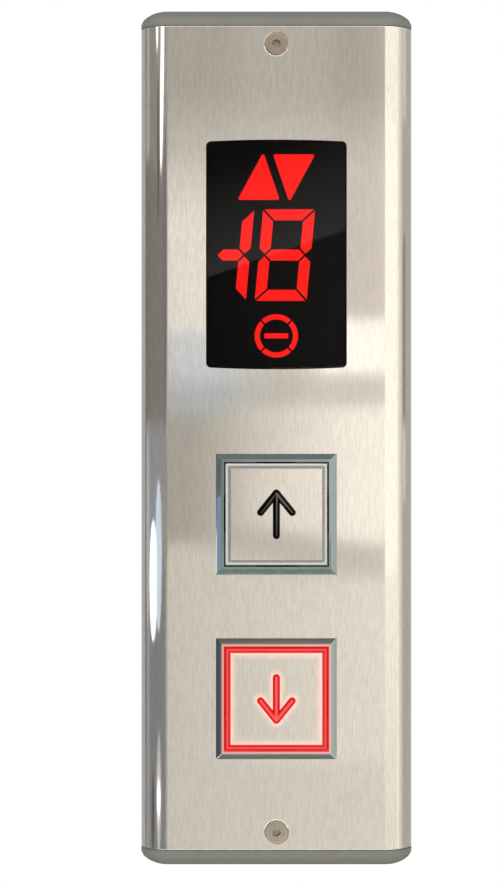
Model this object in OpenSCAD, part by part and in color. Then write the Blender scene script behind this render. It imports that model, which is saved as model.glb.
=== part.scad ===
// Landing call panel for a lift: a bent stainless cover with moulded end caps, a floor
// display behind a smoked lens and two square push buttons, hung on a wall plate.
// Millimetres. X is to the right, Z is up, and the wall is the plane Y = 0, with the panel at -Y.
// A "level" below is a distance out from the wall, so a level of 20 is the plane Y = -20.

/* [Body] */
// Overall width across the bent sides
body_w = 86; // [78:0.5:110]
// Overall height with both end caps
body_h = 268.4; // [260:0.2:330]
// Depth from the wall to the front face
body_d = 20; // [19:0.5:30]
// Thickness of the cover's stainless sheet
sheet_t = 1.2; // [0.8:0.1:1.5]
// Outside radius of the cover's two long bends
bend_r = 9; // [5:0.5:12]
// Gap between the wall and the rear edges of the cover and caps
wall_gap = 0.8; // [0.3:0.1:1.5]

/* [End caps] */
// Height of an end cap above the sheet
cap_h = 4.7; // [4.5:0.1:8]
// Width of the rounded corner, seen from the front
cap_corner_w = 8.5; // [6:0.1:9]
// Height of the rounded corner, seen from the front
cap_corner_h = 3.8; // [3:0.1:4.2]
// Radius where the rounded corner runs into the side
cap_tip_r = 2.4; // [1:0.1:2.5]
// Thickness of the cap's outer wall
cap_wall = 2; // [1.5:0.1:2.2]
// Length of the lip that plugs into the cover
lip_len = 5; // [3:0.5:7]
// Thickness of that lip
lip_t = 1.5; // [1:0.1:2]
// Gap between the lip and the inside of the cover
lip_gap = 0.15; // [0.05:0.05:0.3]
// Width of the notch in the lip that clears a cover pillar
lip_notch_w = 12; // [10:0.5:16]

/* [Wall plate] */
// Thickness of the zinc-plated wall plate
plate_t = 1.5; // [1:0.1:2]
// Gap between the plate's side flanges and the cover
plate_gap = 0.4; // [0.2:0.1:1]
// Height of the side flanges, measured from the wall
flange_h = 9.5; // [6:0.5:10]
// Inside radius of the flange bends
flange_bend_r = 1; // [0.5:0.1:2]
// Length of the side flanges
flange_len = 230; // [180:1:236]
// Distance that the plate's ends stay inside the sheet's ends
plate_inset = 1.5; // [1:0.1:2]
// Width of the plate beyond the flanges
plate_end_w = 70; // [50:1:74]
// Spacing of the wall screw holes across the panel
fixing_x = 60; // [52:1:68]
// Spacing of the wall screw holes up the panel
fixing_z = 200; // [160:1:210]
// Diameter of a wall screw hole
fixing_d = 4.5; // [3.5:0.1:6]
// Height of the cable entry, from the panel's middle
cable_z = -53; // [-56:0.5:-50]
// Bore of the cable grommet
cable_d = 8; // [5:0.5:8]
// Wall of the grommet in the plate's hole
grommet_wall = 2; // [1.5:0.1:2.5]
// Overlap of the grommet's flange on the plate
grommet_rim = 2; // [1:0.1:2.5]
// Thickness of the grommet's flange
grommet_flange_t = 1.7; // [1:0.1:2]

/* [Cover screws] */
// Distance of each screw from the sheet's end
screw_inset = 5.5; // [5:0.1:8]
// Thread diameter
screw_d = 4; // [3:0.5:4]
// Diameter of the countersunk head
screw_head_d = 7.5; // [6:0.1:8]
// Cylindrical rim of the head
screw_rim = 0.15; // [0.1:0.05:0.3]
// Length of the threaded shank
screw_len = 10; // [8:0.5:11]
// Hexagon socket across flats
screw_socket = 2.5; // [2:0.1:3]
// Depth of the socket
screw_socket_depth = 1.5; // [1:0.1:1.8]
// Radial gap around the screw
screw_gap = 0.08; // [0.05:0.01:0.2]
// Pillar across flats
pillar_af = 7; // [6:0.5:9]
// Depth of the pillar's threaded bore below the head
pillar_bore = 12; // [11.5:0.5:14]
// Diameter of the pillar's riveted spigot
pillar_spigot_d = 4.8; // [4:0.1:5.5]
// Radial gap of the spigot in the wall plate
spigot_gap = 0.03; // [0.02:0.01:0.1]

/* [Display window] */
// Height of the window's middle, from the panel's middle
window_z = 57.7; // [55:0.1:70]
// Width of the window
window_w = 44.2; // [40:0.1:46]
// Height of the window at its sides
window_h = 71; // [66:0.1:73]
// Rise of the bowed top and bottom edges
window_bow = 0.6; // [0.3:0.1:1]
// Corner radius of the window
window_corner_r = 1.4; // [0.8:0.1:3]
// Gap between the lens and the window's edge
lens_gap = 0.12; // [0.05:0.01:0.2]
// Overlap of the lens flange behind the sheet
lens_overlap = 3; // [2:0.1:3.4]
// Thickness of the lens flange
lens_flange_t = 1.7; // [1:0.1:2]
// Thickness of the foam gasket
gasket_t = 0.5; // [0.3:0.1:1]
// Air gap between the lens and the segment mask
mask_air = 0.2; // [0.1:0.05:0.5]
// Amount that the mask is larger than the window all round
mask_margin = 1.2; // [0.5:0.1:2]

/* [Display symbols] */
// Width of a digit over its upright segments
digit_w = 16.4; // [14:0.1:17]
// Height of a digit
digit_h = 28.9; // [26:0.1:30]
// Width of a segment
stroke = 3.5; // [2.5:0.1:3.8]
// Gap between two segments
stroke_gap = 0.6; // [0.3:0.05:1]
// Sideways lean of the digits per unit of height
lean = 0.094; // [0:0.001:0.12]
// Distance between the two digits
digit_pitch = 19.2; // [18.5:0.1:20]
// Sideways place of the right-hand digit
digit_x = 2.7; // [2:0.1:3.5]
// Length of the minus bar
minus_len = 8.1; // [6:0.1:8.5]
// Base of a direction triangle
triangle_w = 12.8; // [10:0.1:13.2]
// Height of a direction triangle
triangle_h = 14.4; // [12:0.1:14.6]
// Corner radius of a direction triangle
triangle_r = 0.5; // [0.3:0.1:1]
// Height of the triangles' middle above the window's middle
triangle_z = 24.6; // [24:0.1:26]
// Sideways place of the up triangle, and of the down triangle mirrored
triangle_x = 5.6; // [5:0.1:6.5]
// Sideways shift of a triangle's tip from the middle of its base
triangle_lean = 1.5; // [0:0.1:2]
// Outside diameter of the out-of-service ring
ring_sign_d = 13.7; // [11:0.1:14]
// Width of that ring's line
ring_sign_t = 1.65; // [1:0.05:2]
// Depth of the ring's middle below the window's middle
ring_sign_drop = 25.5; // [25:0.1:27]
// Length of the bar in the ring
ring_sign_bar = 7.5; // [5:0.1:8]

/* [Display board] */
// Distance from the back of the sheet to the front of every board
board_setback = 10.8; // [10.5:0.1:11.5]
// Thickness of the boards
board_t = 1.6; // [1:0.1:1.8]
// Width of the display board
board_w = 60; // [58:0.5:66]
// Height of the display board
board_h = 94; // [92:0.5:97]
// Distance of the welded studs from the board's edges
stud_inset = 4; // [3.5:0.1:4.5]
// Diameter of a welded stud
stud_d = 3; // [2:0.1:3]
// Outside diameter of a spacer
spacer_d = 5.5; // [4.5:0.1:6]
// Nut across flats
nut_af = 5.5; // [5:0.1:6]
// Nut height
nut_h = 2.4; // [1.6:0.1:2.4]
// Length of stud past the nut
stud_spare = 0.4; // [0.2:0.1:1]
// Radial gap of the holes on the studs
stud_gap = 0.1; // [0.05:0.05:0.2]
// Length of a light-emitting diode
led_w = 3.2; // [2:0.1:3.4]
// Width of a diode
led_d = 1.6; // [1:0.1:2]
// Height of a diode
led_h = 1; // [0.6:0.1:1.1]
// Air between a diode and the segment above it
led_air = 0.4; // [0.2:0.1:1]

/* [Buttons] */
// Height of the up button, from the panel's middle
up_z = -24; // [-27:0.5:-22]
// Distance from the up button down to the down button
button_pitch = 58; // [52:0.5:62]
// Outside width of the bevelled bezel
bezel_w = 38; // [36:0.1:40]
// Height of the bezel above the sheet
bezel_rise = 1.3; // [0.8:0.1:2]
// Upright outer edge of the bezel
bezel_edge = 0.2; // [0.1:0.1:0.5]
// Width of the bevelled face
bezel_bevel = 1.75; // [1:0.05:2]
// Width of the opening in the bezel
opening_w = 33; // [31:0.1:33.2]
// Wall of the collar that passes through the sheet
collar_t = 0.8; // [0.6:0.1:1]
// Length of the collar behind the sheet's front face
collar_len = 4; // [3:0.1:4.5]
// Gap between the collar and the sheet's cut-out
cutout_gap = 0.2; // [0.1:0.05:0.3]
// Gap between the bezel and the light ring
ring_gap = 0.5; // [0.3:0.05:0.7]
// Width of the light ring, seen from the front
ring_w = 1; // [0.8:0.1:1.6]
// Gap between the light ring and the push plate
plate_groove = 0.6; // [0.2:0.05:0.8]
// Depth of the light ring below the bezel's rim
ring_recess = 0.4; // [0.2:0.1:0.8]
// Height of the push plate above the light ring
push_proud = 0.1; // [0:0.05:0.3]
// Thickness of the push plate
push_t = 1; // [0.6:0.1:1.2]
// Travel of a button
travel = 1.5; // [1:0.1:1.6]

/* [Button arrow] */
// Width of the arrow's line
arrow_line = 2.1; // [1.5:0.1:2.5]
// Length of the arrow over its round ends
arrow_len = 15.5; // [12:0.1:18]
// Width of the arrow head over its round ends
arrow_head_w = 12; // [9:0.1:14]
// Angle of each barb from the shaft
arrow_angle = 39; // [30:1:50]
// Height of the arrow's crown above the push plate
arrow_crown = 0.7; // [0.1:0.05:0.8]
// Gap around the arrow in the push plate
arrow_gap = 0.05; // [0.02:0.01:0.1]

/* [Button carrier and housing] */
// Thickness of the carrier's web behind the push plate
web_t = 1.6; // [1.2:0.1:1.8]
// Reach of the retaining lugs beyond the skirt
lug_reach = 1; // [0.8:0.1:1.2]
// Thickness of the retaining lugs
lug_t = 1.3; // [1:0.1:1.5]
// Gap between the lugs and the collar at rest
lug_gap = 0.1; // [0.05:0.05:0.2]
// Room between a lug and the snap finger beside it
lug_room = 2; // [1:0.5:3]
// Width of a snap finger on the bezel
finger_w = 8; // [6:0.5:10]
// Length of a snap finger behind the collar
finger_len = 3.6; // [3.4:0.1:4]
// Reach of the finger's barb
barb_reach = 0.6; // [0.4:0.1:0.6]
// Height of the barb
barb_h = 0.9; // [0.6:0.1:1.2]
// Gap between a barb and the ledge it hooks under
barb_gap = 0.2; // [0.1:0.05:0.3]
// Gap between the collar and the housing
housing_gap = 0.15; // [0.1:0.05:0.2]
// Room beyond the barb inside the housing
housing_room = 0.3; // [0.2:0.1:0.5]
// Thickness of the housing's wall
housing_wall = 1.5; // [1.2:0.1:2]
// Width of the housing's flange over all
housing_flange_w = 42; // [42:0.5:45]
// Thickness of that flange
housing_flange_t = 1.5; // [1:0.1:2]
// Thickness of the housing's floor
floor_t = 1.2; // [1.1:0.1:1.6]
// Width of a button board
button_board_w = 37; // [36:0.5:39]
// Place of the board screws, from the button's middle
boss_at = 15.8; // [15.5:0.1:15.9]
// Diameter of a screw boss
boss_d = 4; // [3.4:0.1:4]
// Height of a screw boss above the board
boss_h = 4; // [3.5:0.1:4.2]
// Thread diameter of the board screws
board_screw_d = 2; // [1.6:0.1:2]
// Head diameter of the board screws
board_screw_head = 3.8; // [3:0.1:4]
// Head height of the board screws
board_screw_head_h = 1.3; // [0.8:0.1:1.4]
// Length of the board screws under the head
board_screw_len = 5; // [4:0.1:5]
// Radial gap of the board screws
board_screw_gap = 0.06; // [0.04:0.01:0.1]

/* [Return springs] */
// Place of the springs, from the button's middle
spring_at = 11; // [10.5:0.1:11.5]
// Mean diameter of a spring
spring_d = 3.6; // [3.4:0.1:4]
// Diameter of the spring wire
wire_d = 0.5; // [0.3:0.05:0.6]
// Turns of a spring
spring_turns = 5; // [4:1:7]
// Diameter of the posts that locate a spring
spring_post_d = 2.6; // [2:0.1:2.6]
// Length of those posts
spring_post_len = 2.8; // [1.5:0.1:3]

/* [Switch] */
// Length of the snap switch
switch_l = 12.8; // [12:0.1:13]
// Width of the switch
switch_w = 5.8; // [5:0.1:6.5]
// Height of the switch body
switch_h = 6.5; // [6:0.1:6.6]
// Place of the lever's hinge, from the switch's middle
hinge_x = 5.2; // [5:0.1:5.4]
// Height of the hinge above the switch body
hinge_rise = 0.9; // [0.85:0.05:1]
// Distance from the hinge to the pusher
lever_arm = 12; // [11.5:0.1:12.5]
// Length of the lever beyond the pusher
lever_spare = 2; // [1.5:0.1:2.5]
// Thickness of the lever
lever_t = 0.3; // [0.2:0.05:0.35]
// Width of the lever
lever_w = 4; // [3:0.1:4]
// Tilt of the lever at rest
lever_tilt = 4.5; // [4:0.1:5]
// Diameter of the hinge pin
hinge_pin_d = 0.7; // [0.5:0.05:0.8]
// Diameter of the lever's hinge barrel
barrel_d = 1.6; // [1.4:0.1:1.6]
// Diameter of the pusher's round tip
pusher_d = 2.4; // [2:0.1:2.6]
// Gap at rest between pusher and lever, and between lever and plunger
touch_gap = 0.05; // [0.03:0.01:0.1]
// Diameter of the switch plunger
plunger_d = 1.8; // [1.2:0.1:2]
// Place of the plunger, from the switch's middle
plunger_x = 1; // [0.5:0.1:1.5]
// Length of plunger inside the switch
plunger_in = 2.3; // [2:0.1:2.5]
// Radial gap of the plunger, and of the hinge barrel on its pin
running_gap = 0.05; // [0.03:0.01:0.08]

/* [Wiring] */
// Sideways place of the two button leads, left and right
lead_x = 7; // [6.5:0.1:8]
// Cores in a button lead
lead_cores = 4; // [2:1:4]
// Distance between cores
core_pitch = 1.2; // [1:0.05:1.25]
// Diameter of a core
core_d = 1.3; // [1.1:0.05:1.3]
// Width of a lead connector
header_w = 9; // [8:0.1:9.5]
// Length of a board header
header_l = 5; // [4:0.1:6]
// Height of a board header
header_h = 3.4; // [2.6:0.1:3.6]
// Length of a lead's plug
plug_l = 6; // [4:0.1:6]
// Height of a lead's plug
plug_h = 3; // [2.4:0.1:3.2]
// Place of a header's open end, up from the button's middle
header_z = 9; // [8:0.1:10]
// Width of the terminal block
terminal_w = 24; // [20:0.1:26]
// Depth of the terminal block, up the board
terminal_d = 7.4; // [6:0.1:7.6]
// Height of the terminal block
terminal_h = 9; // [7:0.1:10]
// Ways in the terminal block
terminal_ways = 4; // [2:1:4]

/* [Hidden] */
$fn = 64;
cut = 1;
arc_steps = 12;
shift_to_flats = sqrt(3);

// Levels, measured out from the wall
front = body_d;
sheet_back = front - sheet_t;
board_front = sheet_back - board_setback;
board_back = board_front - board_t;
lens_flange_front = sheet_back - gasket_t;
lens_back = lens_flange_front - lens_flange_t;
mask_front = lens_back - mask_air;
rim = front + bezel_rise;
ring_front = rim - ring_recess;
push_front = ring_front + push_proud;
push_back = push_front - push_t;
web_back = push_back - web_t;
collar_end = front - collar_len;
lug_top = collar_end - lug_gap;
skirt_end = lug_top - lug_t;
finger_end = collar_end - finger_len;
ledge = finger_end + barb_h + barb_gap;
floor_top = board_front + floor_t;
switch_top = board_front + switch_h;
hinge_level = switch_top + hinge_rise;
lead_level = board_back - header_h / 2;

// Ends of the sheet and of the wall plate, from the panel's middle
sheet_end = body_h / 2 - cap_h;
plate_end = sheet_end - plate_inset;
screw_z = sheet_end - screw_inset;
plate_w = body_w - 2 * sheet_t - 2 * plate_gap;

// Room around the switch and the diodes in the housing's floor, and beside the lever
window_room = 0.4;
ear_gap = 0.1;
led_side = 6;
arrow_led_z = 8;
down_z = up_z - button_pitch;

// Widths in a button
cutout_w = opening_w + 2 * collar_t + 2 * cutout_gap;
collar_w = opening_w + 2 * collar_t;
ring_out_w = opening_w - 2 * ring_gap;
ring_in_w = ring_out_w - 2 * ring_w;
push_w = ring_in_w - 2 * plate_groove;
housing_neck_w = collar_w + 2 * housing_gap;
housing_in_w = collar_w + 2 * barb_reach + 2 * housing_room;
housing_out_w = housing_in_w + 2 * housing_wall;
ring_led_at = (ring_out_w + ring_in_w) / 4;

// The lever's parts, measured from its hinge
lever_low = 0.2;
lever_high = lever_low + lever_t;
pusher_x = hinge_x - lever_arm;
pusher_level = hinge_level + (pusher_d / 2 + lever_high) / cos(lever_tilt)
    + lever_arm * tan(lever_tilt) + touch_gap;
plunger_arm = hinge_x - plunger_x - plunger_d / 2;
plunger_top = hinge_level + lever_low / cos(lever_tilt) + plunger_arm * tan(lever_tilt) - touch_gap;
plunger_stroke = travel * (hinge_x - plunger_x) / lever_arm;

// The display board and what is fixed on it
board_bottom = window_z - board_h / 2;
stud_x = board_w / 2 - stud_inset;
stud_z = board_h / 2 - stud_inset;
stud_len = board_setback + board_t + nut_h + stud_spare;
board_header_z = board_bottom + plug_l + 2;
grommet_r = cable_d / 2 + grommet_wall;

function mirrored_x(points) = [for (p = points) [-p[0], p[1]]];
function mirrored_z(points) = [for (p = points) [p[0], -p[1]]];
function leaned(points, x) = [for (p = points) [p[0] + lean * p[1] + x, p[1]]];
function middle(points) = [for (k = [0, 1]) [for (p = points) p[k]] * [for (p = points) 1] / len(points)];

// Segment outlines of a seven-segment digit, upright and centred
seg_x = digit_w / 2;
seg_z = digit_h / 2;
mitre = stroke_gap / sqrt(2);
seg_top = [
    [-seg_x + mitre, seg_z], [seg_x - mitre, seg_z],
    [seg_x - stroke - mitre, seg_z - stroke], [-seg_x + stroke + mitre, seg_z - stroke]
];
seg_upper_left = [
    [-seg_x, seg_z - mitre], [-seg_x + stroke, seg_z - stroke - mitre],
    [-seg_x + stroke, stroke / 2 + mitre], [-seg_x + stroke / 2, mitre], [-seg_x, stroke / 2 + mitre]
];
seg_upper_right = mirrored_x(seg_upper_left);
bar_end = seg_x - stroke / 2 - mitre;
function bar_points(from, to) = [
    [from, 0], [from + stroke / 2, stroke / 2], [to - stroke / 2, stroke / 2],
    [to, 0], [to - stroke / 2, -stroke / 2], [from + stroke / 2, -stroke / 2]
];
UNITS = [for (s = [
    seg_top, mirrored_z(seg_top), seg_upper_left, seg_upper_right,
    mirrored_z(seg_upper_left), mirrored_z(seg_upper_right), bar_points(-bar_end, bar_end)
]) leaned(s, digit_x)];
TENS = [for (s = [
    seg_upper_right, mirrored_z(seg_upper_right), bar_points(bar_end - minus_len, bar_end)
]) leaned(s, digit_x - digit_pitch)];
// The sharp outline of a triangle goes past its rounded corners by these amounts
sharp_side = triangle_r * (1 / tan(atan(2 * triangle_h / triangle_w) / 2) - 1);
sharp_tip = triangle_r * (1 / sin(atan(triangle_w / triangle_h / 2)) - 1);
UP_TRIANGLE = [
    [-triangle_x - triangle_w / 2 - sharp_side, triangle_z - triangle_h / 2],
    [-triangle_x + triangle_w / 2 + sharp_side, triangle_z - triangle_h / 2],
    [-triangle_x + triangle_lean, triangle_z + triangle_h / 2 + sharp_tip]
];
DOWN_TRIANGLE = [for (p = UP_TRIANGLE) [-p[0], 2 * triangle_z - p[1]]];

// A solid between two levels, drawn as seen from the front
module slab(low, high) {
    translate([0, -low, 0]) rotate([90, 0, 0]) linear_extrude(high - low) children();
}

// A solid between two heights, drawn as seen from above with the wall at the bottom
module bar(low, high) {
    translate([0, 0, low]) mirror([0, 1, 0]) linear_extrude(high - low) children();
}

// A round solid on a level, turned from its outline of radius and height
module turned(level) {
    translate([0, -level, 0]) rotate([90, 0, 0]) rotate_extrude() children();
}

// A square solid with mitred corners on a level, from its outline of half-width and height
module square_turned(level, points) {
    translate([0, -level, 0]) rotate([90, 0, 0]) rotate(45) rotate_extrude($fn = 4)
        polygon([for (p = points) [p[0] * sqrt(2), p[1]]]);
}

module at(x, z) {
    translate([x, 0, z]) children();
}

module at_corners(x, z) {
    for (sx = [-1, 1], sz = [-1, 1]) translate([sx * x, 0, sz * z]) children();
}

module frame_2d(outer, inner) {
    difference() {
        square(outer, center = true);
        square(inner, center = true);
    }
}

// The panel's cross-section: open at the wall, with two round front corners
module d_shape(w, low, high, r) {
    translate([-w / 2, low]) square([w, high - r - low]);
    translate([-w / 2 + r, low]) square([w - 2 * r, high - low]);
    for (s = [-1, 1]) translate([s * (w / 2 - r), high - r]) circle(r);
}

// The same cross-section, set in from the panel's outside
module inset_shape(inset, low) {
    d_shape(body_w - 2 * inset, low, body_d - inset, bend_r - inset);
}

// The window's outline: upright sides, bowed top and bottom, round corners
module window_shape(grow) {
    w = window_w + 2 * grow;
    half_h = window_h / 2 + window_bow + grow;
    r = window_corner_r + grow;
    bow_r = window_w * window_w / (8 * window_bow) + grow;
    corner_x = w / 2 - r;
    corner_z = half_h - bow_r + sqrt(pow(bow_r - r, 2) - corner_x * corner_x);
    touch_x = corner_x * bow_r / (bow_r - r);
    intersection() {
        square([2 * touch_x, 2 * half_h], center = true);
        translate([0, half_h - bow_r]) circle(bow_r, $fn = 360);
        translate([0, bow_r - half_h]) circle(bow_r, $fn = 360);
    }
    square([w, 2 * corner_z], center = true);
    for (sx = [-1, 1], sz = [-1, 1]) translate([sx * corner_x, sz * corner_z]) circle(r);
}

// A hexagon of a given width across flats
module hexagon(across) {
    circle(across / shift_to_flats, $fn = 6);
}

// Cover, end caps and wall plate

module front_cover() {
    color("#c9c2b6") difference() {
        bar(-sheet_end, sheet_end) difference() {
            inset_shape(0, wall_gap);
            inset_shape(sheet_t, wall_gap - cut);
        }
        at(0, window_z) slab(sheet_back - cut, front + cut) window_shape(0);
        for (z = [up_z, down_z])
            at(0, z) slab(sheet_back - cut, front + cut) square(cutout_w, center = true);
        for (s = [-1, 1]) at(0, s * screw_z) screw_cone(screw_gap, cut, screw_len);
    }
}

// Points along an arc, from one angle to another
function arc_points(middle, r, from, to) = [
    for (i = [0 : arc_steps]) let (a = from + (to - from) * i / arc_steps)
        middle + r * [cos(a), sin(a)]
];

// The outline of the top cap, seen from the front, with a large and a small arc in each corner
module cap_outline() {
    half = body_w / 2;
    big_r = (pow(cap_corner_w - cap_tip_r, 2) + pow(cap_corner_h, 2) - pow(cap_tip_r, 2))
        / (2 * (cap_corner_h - cap_tip_r));
    big_at = [half - cap_corner_w, cap_h - big_r];
    tip_at = [half - cap_tip_r, cap_h - cap_corner_h];
    turn = atan2(tip_at[1] - big_at[1], tip_at[0] - big_at[0]);
    big_arc = arc_points(big_at, big_r, 90, turn);
    tip_arc = arc_points(tip_at, cap_tip_r, turn, 0);
    corner = concat(big_arc, [for (i = [1 : arc_steps]) tip_arc[i]], [[half, 0]]);
    last = len(corner) - 1;
    polygon(concat(corner, [for (i = [last : -1 : 0]) [-corner[i][0], corner[i][1]]]));
}

module end_cap() {
    lip_inset = sheet_t + lip_gap;
    pocket_inset = lip_inset + lip_t;
    lip_back = plate_t + lip_gap;
    pocket_back = wall_gap + cap_wall;
    color("#84857d") {
        difference() {
            intersection() {
                bar(sheet_end, sheet_end + cap_h) inset_shape(0, wall_gap);
                at(0, sheet_end) slab(0, body_d + cut) cap_outline();
            }
            bar(sheet_end - cut, sheet_end + cap_h - cap_wall) inset_shape(pocket_inset, pocket_back);
        }
        difference() {
            bar(sheet_end - lip_len, sheet_end) difference() {
                inset_shape(lip_inset, lip_back);
                inset_shape(pocket_inset, lip_back - cut);
            }
            at(0, sheet_end - lip_len / 2) slab(lip_back - cut, front)
                square([lip_notch_w, lip_len + 2 * cut], center = true);
        }
    }
}

module top_end_cap() {
    end_cap();
}

module bottom_end_cap() {
    mirror([0, 0, 1]) end_cap();
}

module wall_plate() {
    bend_out = flange_bend_r + plate_t;
    color("#aeb2b4") difference() {
        union() {
            bar(-flange_len / 2, flange_len / 2) difference() {
                mirror([0, 1]) translate([0, -flange_h]) d_shape(plate_w, 0, flange_h, bend_out);
                mirror([0, 1]) translate([0, -flange_h])
                    d_shape(plate_w - 2 * plate_t, -cut, flange_h - plate_t, flange_bend_r);
            }
            bar(-plate_end, plate_end) translate([-plate_end_w / 2, 0]) square([plate_end_w, plate_t]);
        }
        at_corners(fixing_x / 2, fixing_z / 2) slab(-cut, plate_t + cut) circle(d = fixing_d);
        at(0, cable_z) slab(-cut, plate_t + cut) circle(grommet_r);
        for (s = [-1, 1]) at(0, s * screw_z)
            slab(-cut, plate_t + cut) circle(pillar_spigot_d / 2 + spigot_gap);
    }
}

// A countersunk head with its shank, larger all round by grow and longer at the front by above
module screw_cone(grow, above, shank) {
    head_r = screw_head_d / 2 + grow;
    shank_r = screw_d / 2 + grow;
    cone_top = front - screw_rim;
    turned(cone_top - head_r + shank_r) polygon([
        [0, -shank], [shank_r, -shank], [shank_r, 0], [head_r, head_r - shank_r],
        [head_r, head_r - shank_r + screw_rim + above], [0, head_r - shank_r + screw_rim + above]
    ]);
}

module cover_pillars() {
    color("#b9b4a2") for (s = [-1, 1]) at(0, s * screw_z) {
        difference() {
            slab(plate_t, sheet_back) hexagon(pillar_af);
            screw_cone(screw_gap, cut, pillar_bore);
        }
        slab(0, plate_t) circle(d = pillar_spigot_d);
    }
}

module cover_screws() {
    color("#a39884") for (s = [-1, 1]) at(0, s * screw_z) difference() {
        screw_cone(0, 0, screw_len);
        slab(front - screw_socket_depth, front + cut) rotate(15 * s) hexagon(screw_socket);
    }
}

module cable_grommet() {
    flange_top = plate_t + grommet_flange_t;
    color("#26262a") at(0, cable_z) turned(0) polygon([
        [cable_d / 2, 0], [grommet_r, 0], [grommet_r, plate_t], [grommet_r + grommet_rim, plate_t],
        [grommet_r + grommet_rim, flange_top], [cable_d / 2, flange_top]
    ]);
}

// Display

lens_flange_w = window_w + 2 * lens_overlap;
lens_flange_h = window_h + 2 * window_bow + 2 * lens_overlap;

module display_lens() {
    color("#1b1b1d") at(0, window_z) {
        slab(lens_flange_front, front) window_shape(-lens_gap);
        slab(lens_back, lens_flange_front) square([lens_flange_w, lens_flange_h], center = true);
    }
}

module lens_gasket() {
    color("#2c2c2e") at(0, window_z) slab(lens_flange_front, sheet_back) difference() {
        square([lens_flange_w, lens_flange_h], center = true);
        window_shape(lens_gap);
    }
}

module triangle_2d(points) {
    offset(r = triangle_r) offset(delta = -triangle_r) polygon(points);
}

module digits_2d(list) {
    for (points = list) polygon(points);
}

module service_2d() {
    translate([0, -ring_sign_drop]) {
        difference() {
            circle(d = ring_sign_d);
            circle(ring_sign_d / 2 - ring_sign_t);
            for (a = [45, 135]) rotate(a) square([ring_sign_d + cut, stroke_gap], center = true);
        }
        square([ring_sign_bar, ring_sign_t], center = true);
    }
}

module segment_mask() {
    color("#101012") at(0, window_z) slab(board_front, mask_front) difference() {
        square([
            window_w + 2 * mask_margin, window_h + 2 * window_bow + 2 * mask_margin
        ], center = true);
        triangle_2d(UP_TRIANGLE);
        triangle_2d(DOWN_TRIANGLE);
        digits_2d(TENS);
        digits_2d(UNITS);
        service_2d();
    }
}

module segment_solid() {
    color("#ff2424") at(0, window_z) slab(board_front + led_h + led_air, mask_front) children();
}

module up_triangle() {
    segment_solid() triangle_2d(UP_TRIANGLE);
}

module down_triangle() {
    segment_solid() triangle_2d(DOWN_TRIANGLE);
}

module tens_segments() {
    segment_solid() digits_2d(TENS);
}

module units_segments() {
    segment_solid() digits_2d(UNITS);
}

module service_symbol() {
    segment_solid() service_2d();
}

module display_board() {
    color("#1f5c3a") at(0, window_z) difference() {
        slab(board_back, board_front) square([board_w, board_h], center = true);
        at_corners(stud_x, stud_z) slab(board_back - cut, board_front + cut) circle(stud_d / 2 + stud_gap);
    }
}

// One diode under each segment, turned upright where the segment is
module display_leds() {
    sign_r = (ring_sign_d - ring_sign_t) / 2;
    level = [for (p = [UNITS[0], UNITS[1], UNITS[6], TENS[2]]) concat(middle(p), 0)];
    upright = [for (p = concat([for (k = [2:5]) UNITS[k]], [TENS[0], TENS[1]])) concat(middle(p), 90)];
    triangles = [for (p = [UP_TRIANGLE, DOWN_TRIANGLE]) concat(middle(p), 0)];
    sign = [
        [0, 0, 0], [0, sign_r, 0], [0, -sign_r, 0], [sign_r, 0, 90], [-sign_r, 0, 90]
    ];
    color("#f1ead2") at(0, window_z) {
        for (p = concat(level, upright, triangles))
            at(p[0], p[1]) slab(board_front, board_front + led_h) rotate(p[2])
                square([led_w, led_d], center = true);
        for (p = sign)
            at(p[0], p[1] - ring_sign_drop) slab(board_front, board_front + led_h) rotate(p[2])
                square([led_d, led_d * 0.6], center = true);
    }
}

// Integrated circuits on the back of the display board

module chip(w, h, t, pins, pitch, pin_out) {
    pin_w = pitch / 2;
    pin_t = t / 4;
    slab(board_back - t, board_back) square([w, h], center = true);
    slab(board_back - pin_t, board_back) for (k = [0:pins - 1])
        translate([0, (k - (pins - 1) / 2) * pitch]) square([w + 2 * pin_out, pin_w], center = true);
}

chip_w = 10;
chip_t = 1.4;
module controller_chip() {
    color("#1a1a1c") at(0, window_z + chip_w) {
        chip(chip_w, chip_w, chip_t, 9, 1, 1);
        slab(board_back - chip_t / 4, board_back) for (k = [-4:4])
            translate([k, 0]) square([0.5, chip_w + 2], center = true);
    }
}

driver_w = 4;
driver_h = 10;
module driver_chips() {
    color("#1a1a1c") for (s = [-1, 1]) at(s * chip_w, window_z - 1.5 * driver_h)
        chip(driver_w, driver_h, chip_t, 7, 1.27, 1);
}

sounder_d = 12;
sounder_h = 3.8;
module floor_sounder() {
    color("#222224") at(-chip_w, window_z + 3 * chip_w) difference() {
        slab(board_back - sounder_h, board_back) circle(d = sounder_d);
        slab(board_back - sounder_h - cut, board_back - sounder_h / 2) circle(d = sounder_d / 6);
    }
}

can_d = 6.3;
can_h = 4;
can_base_t = 0.6;
module supply_capacitor() {
    color("#c8cbcd") at(chip_w, window_z + 3 * chip_w) {
        slab(board_back - can_base_t, board_back) square(can_d + 0.3, center = true);
        slab(board_back - can_h, board_back - can_base_t) circle(d = can_d);
    }
}

// Screw terminals for the supply and bus cable, on the front of the board below the lens
module terminal_block() {
    way = terminal_w / terminal_ways;
    block_z = board_bottom + terminal_d / 2 + 0.3;
    color("#3c7a4c") at(0, block_z) difference() {
        slab(board_front, board_front + terminal_h) square([terminal_w, terminal_d], center = true);
        for (k = [0:terminal_ways - 1]) at((k - (terminal_ways - 1) / 2) * way, 0) {
            slab(board_front + terminal_h / 2, board_front + terminal_h + cut) circle(d = way / 2);
            slab(board_front + terminal_h / 6, board_front + terminal_h / 2.5)
                translate([0, -terminal_d / 2]) square([way / 1.6, terminal_d], center = true);
        }
    }
}

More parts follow.
